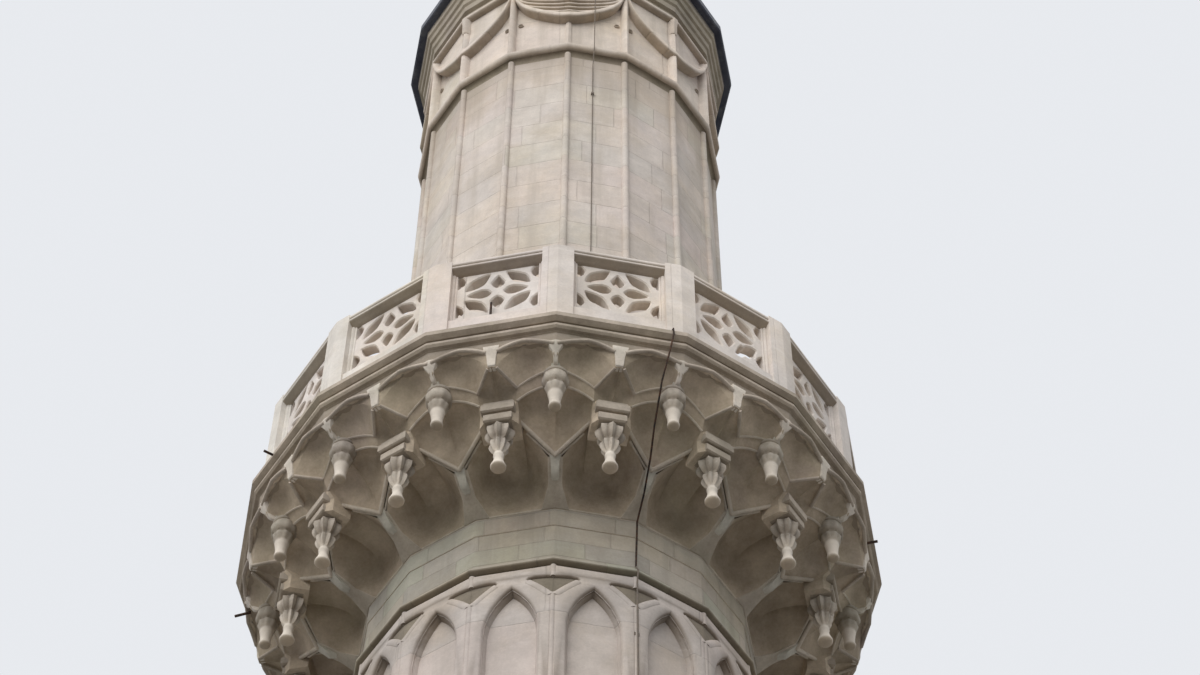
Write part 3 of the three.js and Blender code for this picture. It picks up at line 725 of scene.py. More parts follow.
def carve_ridges():
    """Raised fillets along the ridges, and lighter worn rolls along the rims over the upper cells."""
    ridges, rims = Shape(), Shape()
    for mirror in (1, -1):
        lower = arched(knot(BRACKET), knot(SLAB_LOW, mirror), 8)
        rod(ridges, beside(lower, mirror * -0.008, 0.004), 0.015, 8, -UP)
        rod(ridges, beside(lower[:7], mirror * 0.020, 0.002), 0.009, 6, -UP)
        arch = arched(knot(DROP_LOW), knot(SLAB_HIGH, mirror), 10, 0.045)
        rod(ridges, beside(arch, 0.0, -0.003), 0.009, 6, -UP)
        wing = arched(knot(DROP_HIGH), knot(WING_END, mirror), 8, 0.030)
        rod(ridges, beside(wing, 0.0, -0.003), 0.008, 6, -UP)
        fillet = arched(knot(WING_END, mirror), knot(MIDDLE_TAB, mirror), 6)
        rod(rims, beside(fillet, 0.003, 0.001), 0.012, 8, -UP)
        rim = arched(knot(CORNER_END, mirror), knot(RIM, mirror), 6, 0.008)
        rim += arched(knot(RIM, mirror), knot(TAB_TOP, mirror), 6, 0.010)[1:]
        # The roll stands out most at the corner, and runs back to the rim at the middle of the bay
        rim = [point + (from_axis(point) * 0.011 + UP * 0.013) * (1 - t ** 3)
               for point, t in zip(beside(rim, 0.0, 0.004), fractions(len(rim) - 1))]
        rod(rims, rim, 0.016, 8, -UP)
        spin = Matrix.Rotation((mirror - 1) / 2 * BAY, 3, "Z")
        edge = [spin @ niche_point(-mirror * niche_edge(t), t) for t in fractions(16)]
        rod(ridges, edge, 0.005, 6, -UP)
    foot = [niche_point(lerp(-FOOT_EDGE, FOOT_EDGE, t), 0.0) + UP * 0.002 for t in fractions(18)]
    rod(ridges, foot, 0.008, 6, from_axis)
    make("corbelling_ridges", ridges.copies(CORNERS), ridge_stone, smooth=50)
    make("corbelling_rims", rims.copies(CORNERS), edge_stone, smooth=50)


def carve_feet():
    """Corner pilasters of the lower tier and the course that they stand on."""
    course, feet = Shape(), Shape()
    course_top = FLOOR + FOOT_LINE - 0.008 - CORBEL_BOTTOM
    ring(course, BAND_RADIUS, CORBEL_BOTTOM, [
        (-0.03, 0.002), (0.004, 0.002), (0.007, 0.050), (0.004, course_top), (-0.03, course_top),
    ])
    make("corbelling_foot_course", course, band_stone, smooth=40)
    rows = []
    for amount in fractions(12):
        edge = niche_edge(amount)
        right = [niche_point(-side, amount) for side in (1.0, (1 + edge) / 2, edge)]
        front = [Vector((-point.x, point.y, point.z)) for point in right[:0:-1]] + right
        rows.append([point + from_axis(point) * 0.006 - UP * 0.003 for point in front]
                    + [point - from_axis(point) * 0.02 for point in front[::-1]])
    feet.solid(rows)
    make("corbelling_feet", feet.copies(CORNERS), foot_stone, smooth=40)


# Small brackets. Each row is (height over the floor, front, half width, depth behind, nose).
FOOT_TONGUE = [
    (-0.832, 1.545, 0.018, 0.05, 0.002), (-0.824, 1.566, 0.026, 0.06, 0.004),
    (-0.790, 1.596, 0.028, 0.08, 0.004), (-0.760, 1.624, 0.030, 0.09, 0.004),
    (-0.740, 1.645, 0.036, 0.10, 0.005), (-0.726, 1.656, 0.038, 0.10, 0.006),
    (-0.714, 1.656, 0.034, 0.08, 0.006),
]
DROP_TONGUE = [
    (-0.450, 2.020, 0.036, 0.09, 0.004), (-0.436, 2.050, 0.040, 0.11, 0.004),
    (-0.374, 2.060, 0.040, 0.11, 0.004), (-0.362, 2.070, 0.036, 0.11, 0.004),
    (-0.350, 2.086, 0.030, 0.11, 0.004), (-0.324, 2.090, 0.026, 0.10, 0.004),
]
CORNER_BRACKET = [
    (-0.352, 2.112, 0.010, 0.05, 0.003), (-0.340, 2.132, 0.014, 0.06, 0.004),
    (-0.312, 2.152, 0.017, 0.07, 0.005), (-0.290, 2.168, 0.023, 0.07, 0.006),
    (-0.268, 2.184, 0.038, 0.08, 0.007), (-0.246, 2.198, 0.048, 0.08, 0.009),
    (CORNICE_BOTTOM - FLOOR, 2.204, 0.050, 0.08, 0.010),
]
MIDDLE_BRACKET = [
    (-0.402, 2.140, 0.018, 0.03, 0.0), (-0.394, 2.156, 0.025, 0.05, 0.0), (-0.370, 2.163, 0.029, 0.06, 0.0),
    (-0.330, 2.167, 0.031, 0.07, 0.0), (-0.290, 2.173, 0.036, 0.08, 0.0), (-0.262, 2.182, 0.044, 0.09, 0.0),
    (-0.246, 2.188, 0.052, 0.09, 0.0), (CORNICE_BOTTOM - FLOOR, 2.192, 0.055, 0.09, 0.0),
]


def bracket_on(shape, bay, sections):
    shape.solid([
        [on_face(bay, front - back, along, FLOOR + height)
         for back, along in ((depth, -half), (nose, -half), (0.0, 0.0), (nose, half), (depth, half))]
        for height, front, half, depth, nose in sections
    ])


def carve_brackets():
    """Tongues on the corner pilasters and under the upper drops, and tabs under the cornice."""
    tongues, tabs = Shape(), Shape()
    bracket_on(tongues, 0, FOOT_TONGUE)
    bracket_on(tongues, 0, DROP_TONGUE)
    bracket_on(tabs, 0, CORNER_BRACKET)
    bracket_on(tabs, 0.5, MIDDLE_BRACKET)
    make("corbelling_tongues", tongues.copies(CORNERS), tongue_stone, smooth=50)
    make("corbelling_brackets", tabs.copies(CORNERS), tab_stone, smooth=30, bevel=0.003)


# Hanging drops. Each row is (radius, height over the floor, share of fluting where there is any).
UPPER_AXIS = 2.010
UPPER_FLUTES = 0.06
UPPER_DROP = [
    (0.008, -0.733), (0.020, -0.731), (0.032, -0.725), (0.040, -0.715), (0.042, -0.704), (0.039, -0.692),
    (0.037, -0.676), (0.039, -0.645), (0.045, -0.605), (0.050, -0.580), (0.048, -0.570), (0.053, -0.560, 1),
    (0.062, -0.534, 1), (0.069, -0.508, 1), (0.067, -0.496, 0.5), (0.076, -0.486, 0.6), (0.086, -0.458, 0.8),
    (0.089, -0.428, 0.8), (0.085, -0.402, 0.5), (0.076, -0.384), (0.081, -0.378), (0.082, -0.358),
    (0.070, -0.350), (0.050, -0.344), (0.045, -0.300),
]
LOWER_AXIS = 1.835
LOWER_FLUTES = 0.17
LOWER_DROP = [
    (0.010, -1.112), (0.024, -1.110), (0.037, -1.105), (0.047, -1.097), (0.052, -1.088), (0.052, -1.081),
    (0.048, -1.070), (0.041, -1.052), (0.034, -1.024), (0.030, -0.994), (0.036, -0.978), (0.036, -0.966),
    (0.030, -0.952), (0.031, -0.942, 0.3), (0.043, -0.922, 1), (0.055, -0.893, 1), (0.061, -0.864, 1),
    (0.057, -0.840, 1), (0.050, -0.828, 0.6), (0.063, -0.810, 1), (0.078, -0.782, 1), (0.087, -0.748, 1),
    (0.086, -0.716, 1), (0.078, -0.701, 0.4), (0.072, -0.690), (0.072, -0.66),
]
# Square slabs over the lower drops: (half width, bottom, top)
SLABS = [(0.096, -0.694, -0.622), (0.084, -0.622, -0.604), (0.113, -0.604, -0.530), (0.100, -0.530, -0.496)]
# What ties the slabs to the wall behind them: (height, half width in front, depth of the cut corners)
SLAB_ROOTS = [(-0.690, 0.085, 0.050), (-0.560, 0.088, 0.050), (-0.514, 0.123, 0.004), (-0.480, 0.123, 0.004)]
ROOT_HALF = 0.130
DROP_SEGMENTS = 32


def hang_drops():
    for name, profile, axis, first, flutes, material in (
        ("upper_drops", UPPER_DROP, UPPER_AXIS, 0, UPPER_FLUTES, upper_drop_stone),
        ("lower_drops", LOWER_DROP, LOWER_AXIS, 0.5, LOWER_FLUTES, lower_drop_stone),
    ):
        drop = Shape()
        rows = [(radius, FLOOR + height, *share) for radius, height, *share in profile]
        turned(drop, rows, DROP_SEGMENTS, axis, flutes)
        make(name, drop.copies([first]).copies(CORNERS), material, smooth=45)
    slabs, roots = Shape(), Shape()
    for half, bottom, top in SLABS:
        slabs.solid([
            [on_face(0.5, LOWER_AXIS + size * depth, size * side, FLOOR + z)
             for depth, side in ((1, -1), (1, 1), (-0.75, 1), (-0.75, -1))]
            for z, size in ((bottom, half - 0.012), (bottom + 0.012, half), (top, half))
        ])
    make("drop_slabs", slabs.copies(CORNERS), slab_stone, bevel=0.006)
    front, back = LOWER_AXIS + 0.085, LOWER_AXIS - 0.100
    roots.solid([
        [on_face(0.5, depth, along, FLOOR + z) for depth, along in (
            (front, -corner), (front, corner), (front - step, ROOT_HALF),
            (back, ROOT_HALF), (back, -ROOT_HALF), (front - step, -ROOT_HALF),
        )]
        for z, corner, step in SLAB_ROOTS
    ])
    make("drop_slab_roots", roots.copies(CORNERS), hollow_stone)


def cornice_fillets():
    """A sharp drip round the balcony cornice, under its upper fillet."""
    drip = Shape()
    ring(drip, 2.254, FLOOR - 0.058, oval(0.0, 0.0, 0.006, 0.006, circle(8)))
    make("cornice_beads", drip, cornice_stone, smooth=60)


# Blind arcade: a raised skin round sunk pointed arches and spandrels, with rolls along its edges
ARCH_HALF = 0.172
ARCH_APEX = FLOOR - 1.715
ARCH_SPRING = FLOOR - 2.125
ARCADE_FACE = ARCADE_RADIUS * FACE
HALF_FACE = ARCADE_RADIUS * math.tan(BAY / 2) * FACE
RECESS = 0.045
SKIN = 0.024
# Right half of the sunk spandrel at a corner: (height over the floor, distance from the middle of the
# bay), from the side of the bay round the spandrel's edge and back to it
SPANDREL = [
    (-1.825, HALF_FACE), (-1.820, 0.262), (-1.802, 0.240), (-1.774, 0.217), (-1.742, 0.190), (-1.711, 0.161),
    (-1.684, 0.133), (-1.664, 0.112), (-1.652, 0.103), (-1.642, 0.112), (-1.638, 0.150), (-1.644, 0.205),
    (-1.654, HALF_FACE),
]


def arch_outline(half, apex, spring, foot):
    """Pointed arch as (along, height), from the left foot over the apex to the right foot."""
    rise = apex - spring
    swing = (half * half + rise * rise) / (2 * half)
    sweep = math.asin(rise / swing)
    side = [(half, foot), (half, lerp(foot, spring, 0.5))]
    for t in fractions(16):
        side.append((half - swing + swing * math.cos(sweep * t), spring + swing * math.sin(sweep * t)))
    return [(-along, height) for along, height in side] + side[-2::-1]


def offset_loop(loop, distance):
    """A counterclockwise loop moved outwards by a distance."""
    moved = []
    for before, here, after in zip(loop[-1:] + loop[:-1], loop, loop[1:] + loop[:1]):
        normals = []
        for (ax, ay), (bx, by) in ((before, here), (here, after)):
            length = max(math.hypot(bx - ax, by - ay), 1e-9)
            normals.append(((by - ay) / length, (ax - bx) / length))
        nx, ny = (sum(parts) for parts in zip(*normals))
        size = max(math.hypot(nx, ny), 1e-9)
        reach = distance / max(size / 2, 0.55)
        moved.append((here[0] + nx / size * reach, here[1] + ny / size * reach))
    return moved


def wound(loop):
    """The loop in counterclockwise order."""
    area = sum(ax * by - bx * ay for (ax, ay), (bx, by) in zip(loop, loop[1:] + loop[:1]))
    return loop if area > 0 else loop[::-1]


def plate(shape, bay, outer, holes, front, back, chamfer):
    """Upright plate that faces a bay, with holes and softened front edges; loops are (along, height)."""
    outlines = [(wound(outer), -chamfer)] + [(wound(hole), chamfer) for hole in holes]
    for depth, softened in ((front, True), (back, False)):
        loops = [offset_loop(loop, grow if softened else 0.0) for loop, grow in outlines]
        index = shape.add(on_face(bay, depth, x, y) for loop in loops for x, y in loop)
        triangles = tessellate_polygon([[Vector((x, y, 0)) for x, y in loop] for loop in loops])
        shape.faces.extend(tuple(index[i] for i in triangle) for triangle in triangles)
    for loop, grow in outlines:
        rows = [(front, offset_loop(loop, grow)), (front - chamfer, loop), (back, loop)]
        shape.grid([[on_face(bay, depth, x, y) for x, y in line] for depth, line in rows], around=True)


def dress_arcade():
    top, foot = ARCADE_TOP - 0.002, ARCADE_BOTTOM + 0.004
    hollow = [(along, FLOOR + height) for height, along in SPANDREL]
    right = [(HALF_FACE, foot)] + hollow + [(HALF_FACE, top)]
    outline = right + [(-along, height) for along, height in right[::-1]]
    opening = arch_outline(ARCH_HALF + 0.004, ARCH_APEX + 0.004, ARCH_SPRING, foot + 0.05)
    skin, rolls, heads, spandrel_shade_plates, lip = (Shape() for _ in range(5))
    plate(skin, 0.5, outline, [opening], ARCADE_FACE + SKIN, ARCADE_FACE - 0.004, 0.014)
    make("arcade_skin", skin.copies(CORNERS), arcade_stone, smooth=50)
    for side in (1, -1):
        edge = [on_face(0.5, ARCADE_FACE + SKIN - 0.042, side * (along - 0.014), height - 0.014)
                for along, height in hollow[:8]]
        rod(rolls, edge, 0.046, 16, at(1.0, 0.5, 0.0))
    for bottom, end in ((foot, FLOOR - 1.835), (FLOOR - 1.648, top)):
        radius = ARCADE_RADIUS + SKIN / FACE - 0.020
        rod(rolls, [at(radius, 0, lerp(bottom, end, t)) for t in fractions(2)], 0.021, 12, from_axis)
    make("arcade_rolls", rolls.copies(CORNERS), arcade_stone, smooth=60)
    outer = arch_outline(ARCH_HALF + 0.006, ARCH_APEX + 0.006, ARCH_SPRING, foot)
    inner = arch_outline(ARCH_HALF - 0.014, ARCH_APEX - 0.026, ARCH_SPRING - 0.01, foot)
    back, front, bed = ARCADE_FACE - RECESS - 0.01, ARCADE_FACE - 0.004, ARCADE_FACE - RECESS + 0.002
    section = ((0, back), (0, front), (1, bed), (1, back))
    heads.solid([[on_face(0.5, depth, *pair[line]) for line, depth in section] for pair in zip(outer, inner)])
    make("arcade_splayed_heads", heads.copies(CORNERS), arcade_stone, smooth=60)
    # Dark plates in the spandrel hollows: painted shade
    for mirror in (-1, 1):
        loop = [(mirror * (along if along == HALF_FACE else along - 0.016), z) for along, z in hollow]
        spandrel_shade_plates.solid([[on_face(0.5, ARCADE_FACE + depth, x, z) for x, z in loop] for depth in (-0.008, 0.004)])
    make("arcade_spandrel_hollows", spandrel_shade_plates.copies(CORNERS), spandrel_painted_shade)
    ring(lip, BAND_RADIUS, ARCADE_TOP, [
        (-0.01, 0.003), (0.040, 0.012), (0.052, 0.024), (0.052, 0.036), (0.030, 0.058), (-0.01, 0.060),
    ])
    make("arcade_ring_lip", lip, band_stone, smooth=50)


# Pierced parapet. Holes are (along, height) from the middle of a panel.
PANEL_FACE = 2.133
PLATE_FRONT = 2.110
PLATE_BACK = 2.035
TRIM_BACK = PLATE_BACK - 0.002
PANEL_HALF = 0.3195
PANEL_THICK = 0.090
PANEL_BOTTOM = FLOOR + 0.215
RAIL_TOP = FLOOR + 0.940
RAIL_DEPTH = 0.124
OPENING_MIDDLE = FLOOR + 0.566
CORNER_HOLE = [(0.288, 0.246), (0.254, 0.246), (0.230, 0.196), (0.242, 0.146), (0.288, 0.096)]
PETAL = [
    (0.055, 0.240), (0.098, 0.229), (0.142, 0.206), (0.192, 0.170), (0.216, 0.120), (0.230, 0.060),
    (0.188, 0.066), (0.148, 0.080), (0.108, 0.106), (0.084, 0.150),
]
MIDDLE_LEAF = [
    (0.214, 0.0), (0.165, 0.032), (0.112, 0.052), (0.072, 0.042), (0.041, 0.0), (0.072, -0.042),
    (0.112, -0.052), (0.165, -0.032),
]
DIAMOND = [
    (0.0, 0.206), (0.026, 0.160), (0.049, 0.112), (0.030, 0.072), (0.0, 0.048), (-0.030, 0.072),
    (-0.049, 0.112), (-0.026, 0.160),
]
QUARTERS = ((1, 1), (-1, 1), (-1, -1), (1, -1))
HALF_TURN = [-math.pi / 2 + t * math.pi for t in fractions(8)]
BROKEN_PANEL = 2
BROKEN_QUARTER = (1, -1)
BROKEN_PETAL = [
    (0.052, -0.244), (0.078, -0.150), (0.104, -0.096), (0.126, -0.104), (0.150, -0.070), (0.196, -0.052),
    (0.238, -0.058), (0.222, -0.120), (0.214, -0.176), (0.186, -0.166), (0.170, -0.212), (0.132, -0.200),
    (0.104, -0.246),
]


def rounded(loop):
    """Corners cut twice, so that a hole reads as carved."""
    for _ in range(2):
        loop = [tuple(lerp(a, b, share) for a, b in zip(here, after))
                for here, after in zip(loop, loop[1:] + loop[:1]) for share in (0.14, 0.86)]
    return loop


def tracery_holes(broken):
    """Twelve holes of a panel. The damaged panel has the edge of its lower right petal broken away."""
    def turned_to(hole, quarters):
        return [[(x * u, y * v) for x, y in hole] for u, v in quarters]

    whole = [quarter for quarter in QUARTERS if not (broken and quarter == BROKEN_QUARTER)]
    holes = turned_to(CORNER_HOLE, QUARTERS) + turned_to(PETAL, whole)
    holes += turned_to(MIDDLE_LEAF, ((1, 1), (-1, 1))) + turned_to(DIAMOND, ((1, 1), (1, -1)))
    return holes + ([BROKEN_PETAL] if broken else [])


def rail_section():
    """Section of the rail as (distance before the panel's face, height under its top): sloping underside,
    face, torus and back."""
    return [
        (-PANEL_THICK, -RAIL_DEPTH), (PLATE_FRONT - PANEL_FACE, -RAIL_DEPTH), (0.0, -0.108),
        (0.024, -0.088), (0.034, -0.082), (0.037, -0.074), (0.037, -0.064), (0.030, -0.060),
        *oval(0.014, -0.029, 0.024, 0.027, HALF_TURN),
        (0.0, 0.0), (-PANEL_THICK, 0.0), (-PANEL_THICK - 0.030, -0.010), (-PANEL_THICK - 0.034, -0.045),
        (-PANEL_THICK - 0.030, -0.075),
    ]


def panel_trim():
    """Rail, a side strip with one upright fillet beside each post, and a sill."""
    shape = Shape()
    top = RAIL_TOP - RAIL_DEPTH + 0.01
    sill = [(TRIM_BACK, 0.0), (PANEL_FACE - 0.004, 0.0), (PANEL_FACE - 0.010, 0.012), (PLATE_FRONT, 0.022),
            (TRIM_BACK, 0.022)]
    rail = [(PANEL_FACE + proud, rise) for proud, rise in rail_section()]
    for section, level in ((rail, RAIL_TOP), (sill, PANEL_BOTTOM)):
        shape.solid([[on_face(0, front, along, level + rise) for front, rise in section]
                     for along in (-PANEL_HALF, PANEL_HALF)])
    for side in (-1, 1):
        inner, outer = side * (PANEL_HALF - 0.020), side * PANEL_HALF
        front = PANEL_FACE - 0.002
        strip = [(TRIM_BACK, inner), (front - 0.010, inner), (front, lerp(inner, outer, 0.4)), (front, outer),
                 (TRIM_BACK, outer)]
        shape.solid([[on_face(0, front, along, z) for front, along in strip] for z in (PANEL_BOTTOM, top)])
        beside_strip = side * (PANEL_HALF - 0.026)
        fillet = [on_face(0, PLATE_FRONT, beside_strip, z) for z in (PANEL_BOTTOM, OPENING_MIDDLE, top)]
        rod(shape, fillet, 0.009, 8, from_axis)
    return shape


def pierced(holes):
    shape = Shape()
    bottom, top = PANEL_BOTTOM + 0.001, RAIL_TOP - RAIL_DEPTH + 0.02
    outer = [(-PANEL_HALF, bottom), (PANEL_HALF, bottom), (PANEL_HALF, top), (-PANEL_HALF, top)]
    loops = [[(x, y + OPENING_MIDDLE) for x, y in rounded(hole)] for hole in holes]
    plate(shape, 0, outer, loops, PLATE_FRONT, PLATE_BACK, 0.009)
    return shape


def dress_parapet():
    whole, broken = pierced(tracery_holes(False)), pierced(tracery_holes(True))
    trim = panel_trim()
    for number in range(1, SIDES + 1):
        rail, tracery = (Shape(shape.points, shape.faces).copies([number - 0.5])
                         for shape in (trim, broken if number == BROKEN_PANEL else whole))
        make(f"parapet_rail_{number:02d}", rail, parapet_stone, smooth=50)
        make(f"parapet_tracery_{number:02d}", tracery, tracery_stone,
             (f"parapet_panel_{number:02d}",), smooth=35)


# Frieze under the eave: draped swags with reeds over them, ribs with caps, bosses and a stepped flare
SWAG_LOW = FLOOR + 6.088
SWAG_DEPTH = 0.108
BED_LINE = FLOOR + 6.745
REED_STEP = 0.070
# Rise of the swag over its lowest point, by bays from its middle
SWAG_CURVE = [
    (0.0, 0.0), (0.16, 0.022), (0.32, 0.072), (0.48, 0.132), (0.62, 0.190), (0.75, 0.262), (0.85, 0.345),
    (0.92, 0.430), (0.97, 0.520), (1.0, 0.585),
]
# Sections as (distance before the wall, share of the height)
ROLL_SECTION = [
    (-0.02, 0.0), (0.062, 0.0), (0.078, 0.06), (0.084, 0.22), (0.084, 0.50), (0.076, 0.78), (0.058, 0.95),
    (0.040, 1.0), (-0.02, 1.0),
]
DRAPE_SECTION = [
    (-0.02, 0.0), (0.034, 0.0), (0.040, 0.15), (0.030, 0.35), (0.026, 0.6), (0.032, 0.85), (0.030, 1.0),
    (-0.02, 1.0),
]
# The round bosses as (distance before the face, radius)
BOSS_SECTION = [(-0.01, 0.024), (0.010, 0.024), (0.014, 0.019), (0.005, 0.014), (0.004, 0.004)]


def swag_rise(off):
    for (a, bottom), (b, top) in zip(SWAG_CURVE, SWAG_CURVE[1:]):
        if off <= b:
            return lerp(bottom, top, (off - a) / (b - a))
    return SWAG_CURVE[-1][1]


def hang_swags():
    """A roll along the foot of each swag, and the cloth over it up to the bed moulding."""
    rolls, drapes = Shape(), Shape()
    roll_rows, drape_rows = [], []
    for t in fractions(44):
        bay = math.sin(lerp(-1, 1, t) * math.pi / 2)
        foot = SWAG_LOW + swag_rise(abs(bay))
        start = foot + SWAG_DEPTH * 0.8
        end = max(BED_LINE + 0.02, start + 0.02)
        for rows, section, first, last in ((roll_rows, ROLL_SECTION, foot, foot + SWAG_DEPTH),
                                           (drape_rows, DRAPE_SECTION, start, end)):
            rows.append([on_ring(UPPER_RADIUS, bay, lerp(first, last, share), proud)
                         for proud, share in section])
    rolls.solid(roll_rows)
    drapes.solid(drape_rows)
    make("frieze_swag_rolls", rolls.copies(CORNERS[::2]), frieze_stone, smooth=50)
    make("frieze_drapes", drapes.copies(CORNERS[::2]), frieze_stone, smooth=50)


def lay_reeds():
    """Reeds nested over every second swag, each as long as there is room for between swag and ribs."""
    reeds = Shape()
    for step in range(1, 8):
        sag = 0.66 - 0.04 * step
        rise = REED_STEP * step + 0.005
        half = 0.0
        while (half < 0.96 and swag_rise(half) * (1 - sag) < rise - 0.015
               and rise + sag * swag_rise(half) < 0.57):
            half += 0.01
        level = SWAG_LOW + SWAG_DEPTH * 0.7 + rise
        bays = [lerp(-half, half, t) for t in fractions(20)]
        path = [on_ring(UPPER_RADIUS, bay, level + sag * swag_rise(abs(bay)), 0.040) for bay in bays]
        rod(reeds, path, 0.020, 8, from_axis)
    make("frieze_reeds", reeds.copies(CORNERS[::4]), frieze_stone, smooth=60)


def stand_ribs():
    """Ribs on the corners; under the middle of a reeded swag only a short one."""
    ribs, caps = Shape(), Shape()
    for corner in CORNERS:
        top, proud, reach = (BED_LINE + 0.02, 0.060, 0.029) if corner % 4 else (SWAG_LOW + 0.02, 0.012, 0.024)
        section = [(-0.05, 1), (proud * 0.5, 1), (proud, 0.62), (proud + 0.010, 0.0), (proud, -0.62),
                   (proud * 0.5, -1), (-0.05, -1)]
        ribs.solid([[on_face(corner, UPPER_RADIUS + out, reach * side, z) for out, side in section]
                    for z in (RING_TOP - 0.02, lerp(RING_TOP, top, 0.5), top)])
    make("frieze_ribs", ribs, frieze_stone, smooth=50)
    caps.solid([
        [on_face(2, UPPER_RADIUS + out, half * side, BED_LINE + rise) for out, side in (
            (-0.06, -1), (proud * 0.7, -1), (proud, -0.5), (proud, 0.5), (proud * 0.7, 1), (-0.06, 1),
        )]
        for rise, proud, half in ((-0.24, 0.070, 0.028), (-0.22, 0.078, 0.034), (-0.05, 0.082, 0.036),
                                  (-0.03, 0.088, 0.042), (0.03, 0.088, 0.042))
    ])
    make("frieze_rib_caps", caps.copies(CORNERS[::4]), frieze_stone, smooth=40)


def set_bosses():
    """A dished boss at each end of a swag."""
    bosses = Shape()
    for side in (-1, 1):
        middle = -side * (UPPER_RADIUS * math.sin(BAY / 2) - 0.064)
        bosses.solid([
            [on_face(1 + side * 0.5, UPPER_RADIUS * FACE + depth, middle + radius * math.cos(angle),
                     SWAG_LOW + 0.10 + radius * math.sin(angle)) for angle in circle(14)]
            for depth, radius in BOSS_SECTION
        ])
    make("frieze_bosses", bosses.copies(CORNERS[::2]), boss_stone, smooth=50)


def step_flare():
    """Stepped flare under the eave, and the eave's lead lining outside it."""
    flare, lining = Shape(), Shape()
    ring(flare, UPPER_RADIUS, BED_LINE, [
        (-0.02, 0.068), (0.046, 0.070), (0.050, 0.148), (0.081, 0.170), (0.086, 0.246), (0.104, 0.268),
        (0.110, 0.332), (0.130, 0.352), (0.139, 0.412), (0.157, 0.432), (0.164, 0.518), (-0.02, 0.518),
    ])
    # The flare is painted darker: painted shade under the eave, with some dirt
    make("frieze_flare", flare, soffit_shade_and_dirt, smooth=15)
    inner, outer = 0.150, EAVE_RADIUS - 0.010 - UPPER_RADIUS
    ring(lining, UPPER_RADIUS, EAVE_BOTTOM,
         [(inner, -0.005), (outer, -0.005), (outer, 0.004), (inner, 0.004)])
    make("eave_lining", lining, eave_lead)


def dress_upper_ring():
    """Lip of the ring under the frieze, the cove under the lip, and the slim ribs below them."""
    lip, cove, ribs = Shape(), Shape(), Shape()
    inside = UPPER_RADIUS - 0.02
    edge = high("upper_shaft_ring", 0) + 0.006 - inside
    ring(lip, inside, RING_TOP, [
        (0.0, -0.072), (edge - 0.032, -0.072), (edge - 0.020, -0.066), (edge - 0.007, -0.046),
        (edge - 0.001, -0.026), (edge, -0.008), (edge - 0.010, 0.003), (0.0, 0.003),
    ])
    wall, reach, drop = 0.016, edge - 0.034 - 0.016, 0.085
    hollow = [(wall + reach * (1 - math.sin(angle)), -0.074 - drop * (1 - math.cos(angle)))
              for angle in (t * math.pi / 2 for t in fractions(8))]
    ring(cove, inside, RING_TOP, [(0.0, -0.070), (edge - 0.034, -0.070), *hollow, (0.0, -0.074 - drop)])
    make("upper_shaft_ring_lip", lip, frieze_stone, ("upper_shaft_ring",), smooth=40)
    # The cove is painted dark: painted shade under the ring's lip
    make("upper_shaft_ring_cove", cove, cove_painted_shade, smooth=60)
    for corner in CORNERS:
        over_door = corner == SIDES // 2
        start = high("balcony_door") + 0.03 if over_door else low("upper_shaft_wall_back") + 0.01
        path = [at(UPPER_RADIUS + 0.003, corner, z) for z in (start, FLOOR + 2.7, RING_TOP - 0.10)]
        rod(ribs, path, UPPER_RIB + 0.001, 12, from_axis)
    make("upper_shaft_ribs", ribs, upper_stone, smooth=60)


def dress_frieze():
    hang_swags()
    bed = Shape()
    ring(bed, UPPER_RADIUS, BED_LINE, [
        (-0.02, -0.016), (0.062, -0.016), (0.082, -0.004), (0.088, 0.020), (0.080, 0.052), (0.040, 0.074),
        (-0.02, 0.074),
    ])
    make("frieze_bed_moulding", bed, frieze_stone, smooth=50)
    lay_reeds()
    stand_ribs()
    set_bosses()
    step_flare()
    dress_upper_ring()


# Lead roof: seams, eave roll and apron, and the turned finial
BELL_TOP = EAVE_TOP + 0.26


def roof_radius(height):
    """Corner radius of the cone at a height, from the two slopes of the solid."""
    if height < BELL_TOP:
        return lerp(EAVE_RADIUS - 0.03, EAVE_RADIUS - 0.16, (height - EAVE_TOP) / (BELL_TOP - EAVE_TOP))
    return lerp(EAVE_RADIUS - 0.16, 0.09, (height - BELL_TOP) / (ROOF_TOP - BELL_TOP))


def dress_roof():
    seams, roll, apron = Shape(), Shape(), Shape()
    heights = [EAVE_TOP + rise for rise in (0.01, 0.13, 0.26, 1.4, 2.8)] + [ROOF_TOP - 0.06]
    path = [at(roof_radius(z) + 0.002, 0, z) for z in heights]
    rod(seams, path, [0.024, 0.024, 0.024, 0.022, 0.018, 0.012], 8, from_axis)
    seams.copies(CORNERS)
    for z in (EAVE_TOP + 0.95, EAVE_TOP + 1.95, EAVE_TOP + 2.95):
        ring(seams, roof_radius(z), z, [(-0.004, -0.006), (0.007, -0.010), (0.006, 0.012), (-0.012, 0.016)])
    make("roof_seams", seams, lead, smooth=50)
    ring(roll, EAVE_RADIUS - 0.034, EAVE_TOP - 0.024, oval(0.0, 0.0, 0.034, 0.030, circle(10)))
    make("eave_roll", roll, lead, smooth=60)
    ring(apron, EAVE_RADIUS, EAVE_BOTTOM,
         [(-0.082, 0.006), (-0.082, -0.004), (-0.010, -0.008), (-0.001, 0.004), (-0.004, 0.012)])
    make("eave_lead_apron", apron, lead, smooth=50)


# Finial: a flared foot, three balls on a stem as (radius, rise over the roof), and a crescent
STEM = 0.036
BALLS = ((0.150, 0.230), (0.095, 0.520), (0.130, 0.790))
CRESCENT_RISE = 1.310
CRESCENT_RADIUS = 0.190
CRESCENT_THICK = 0.015


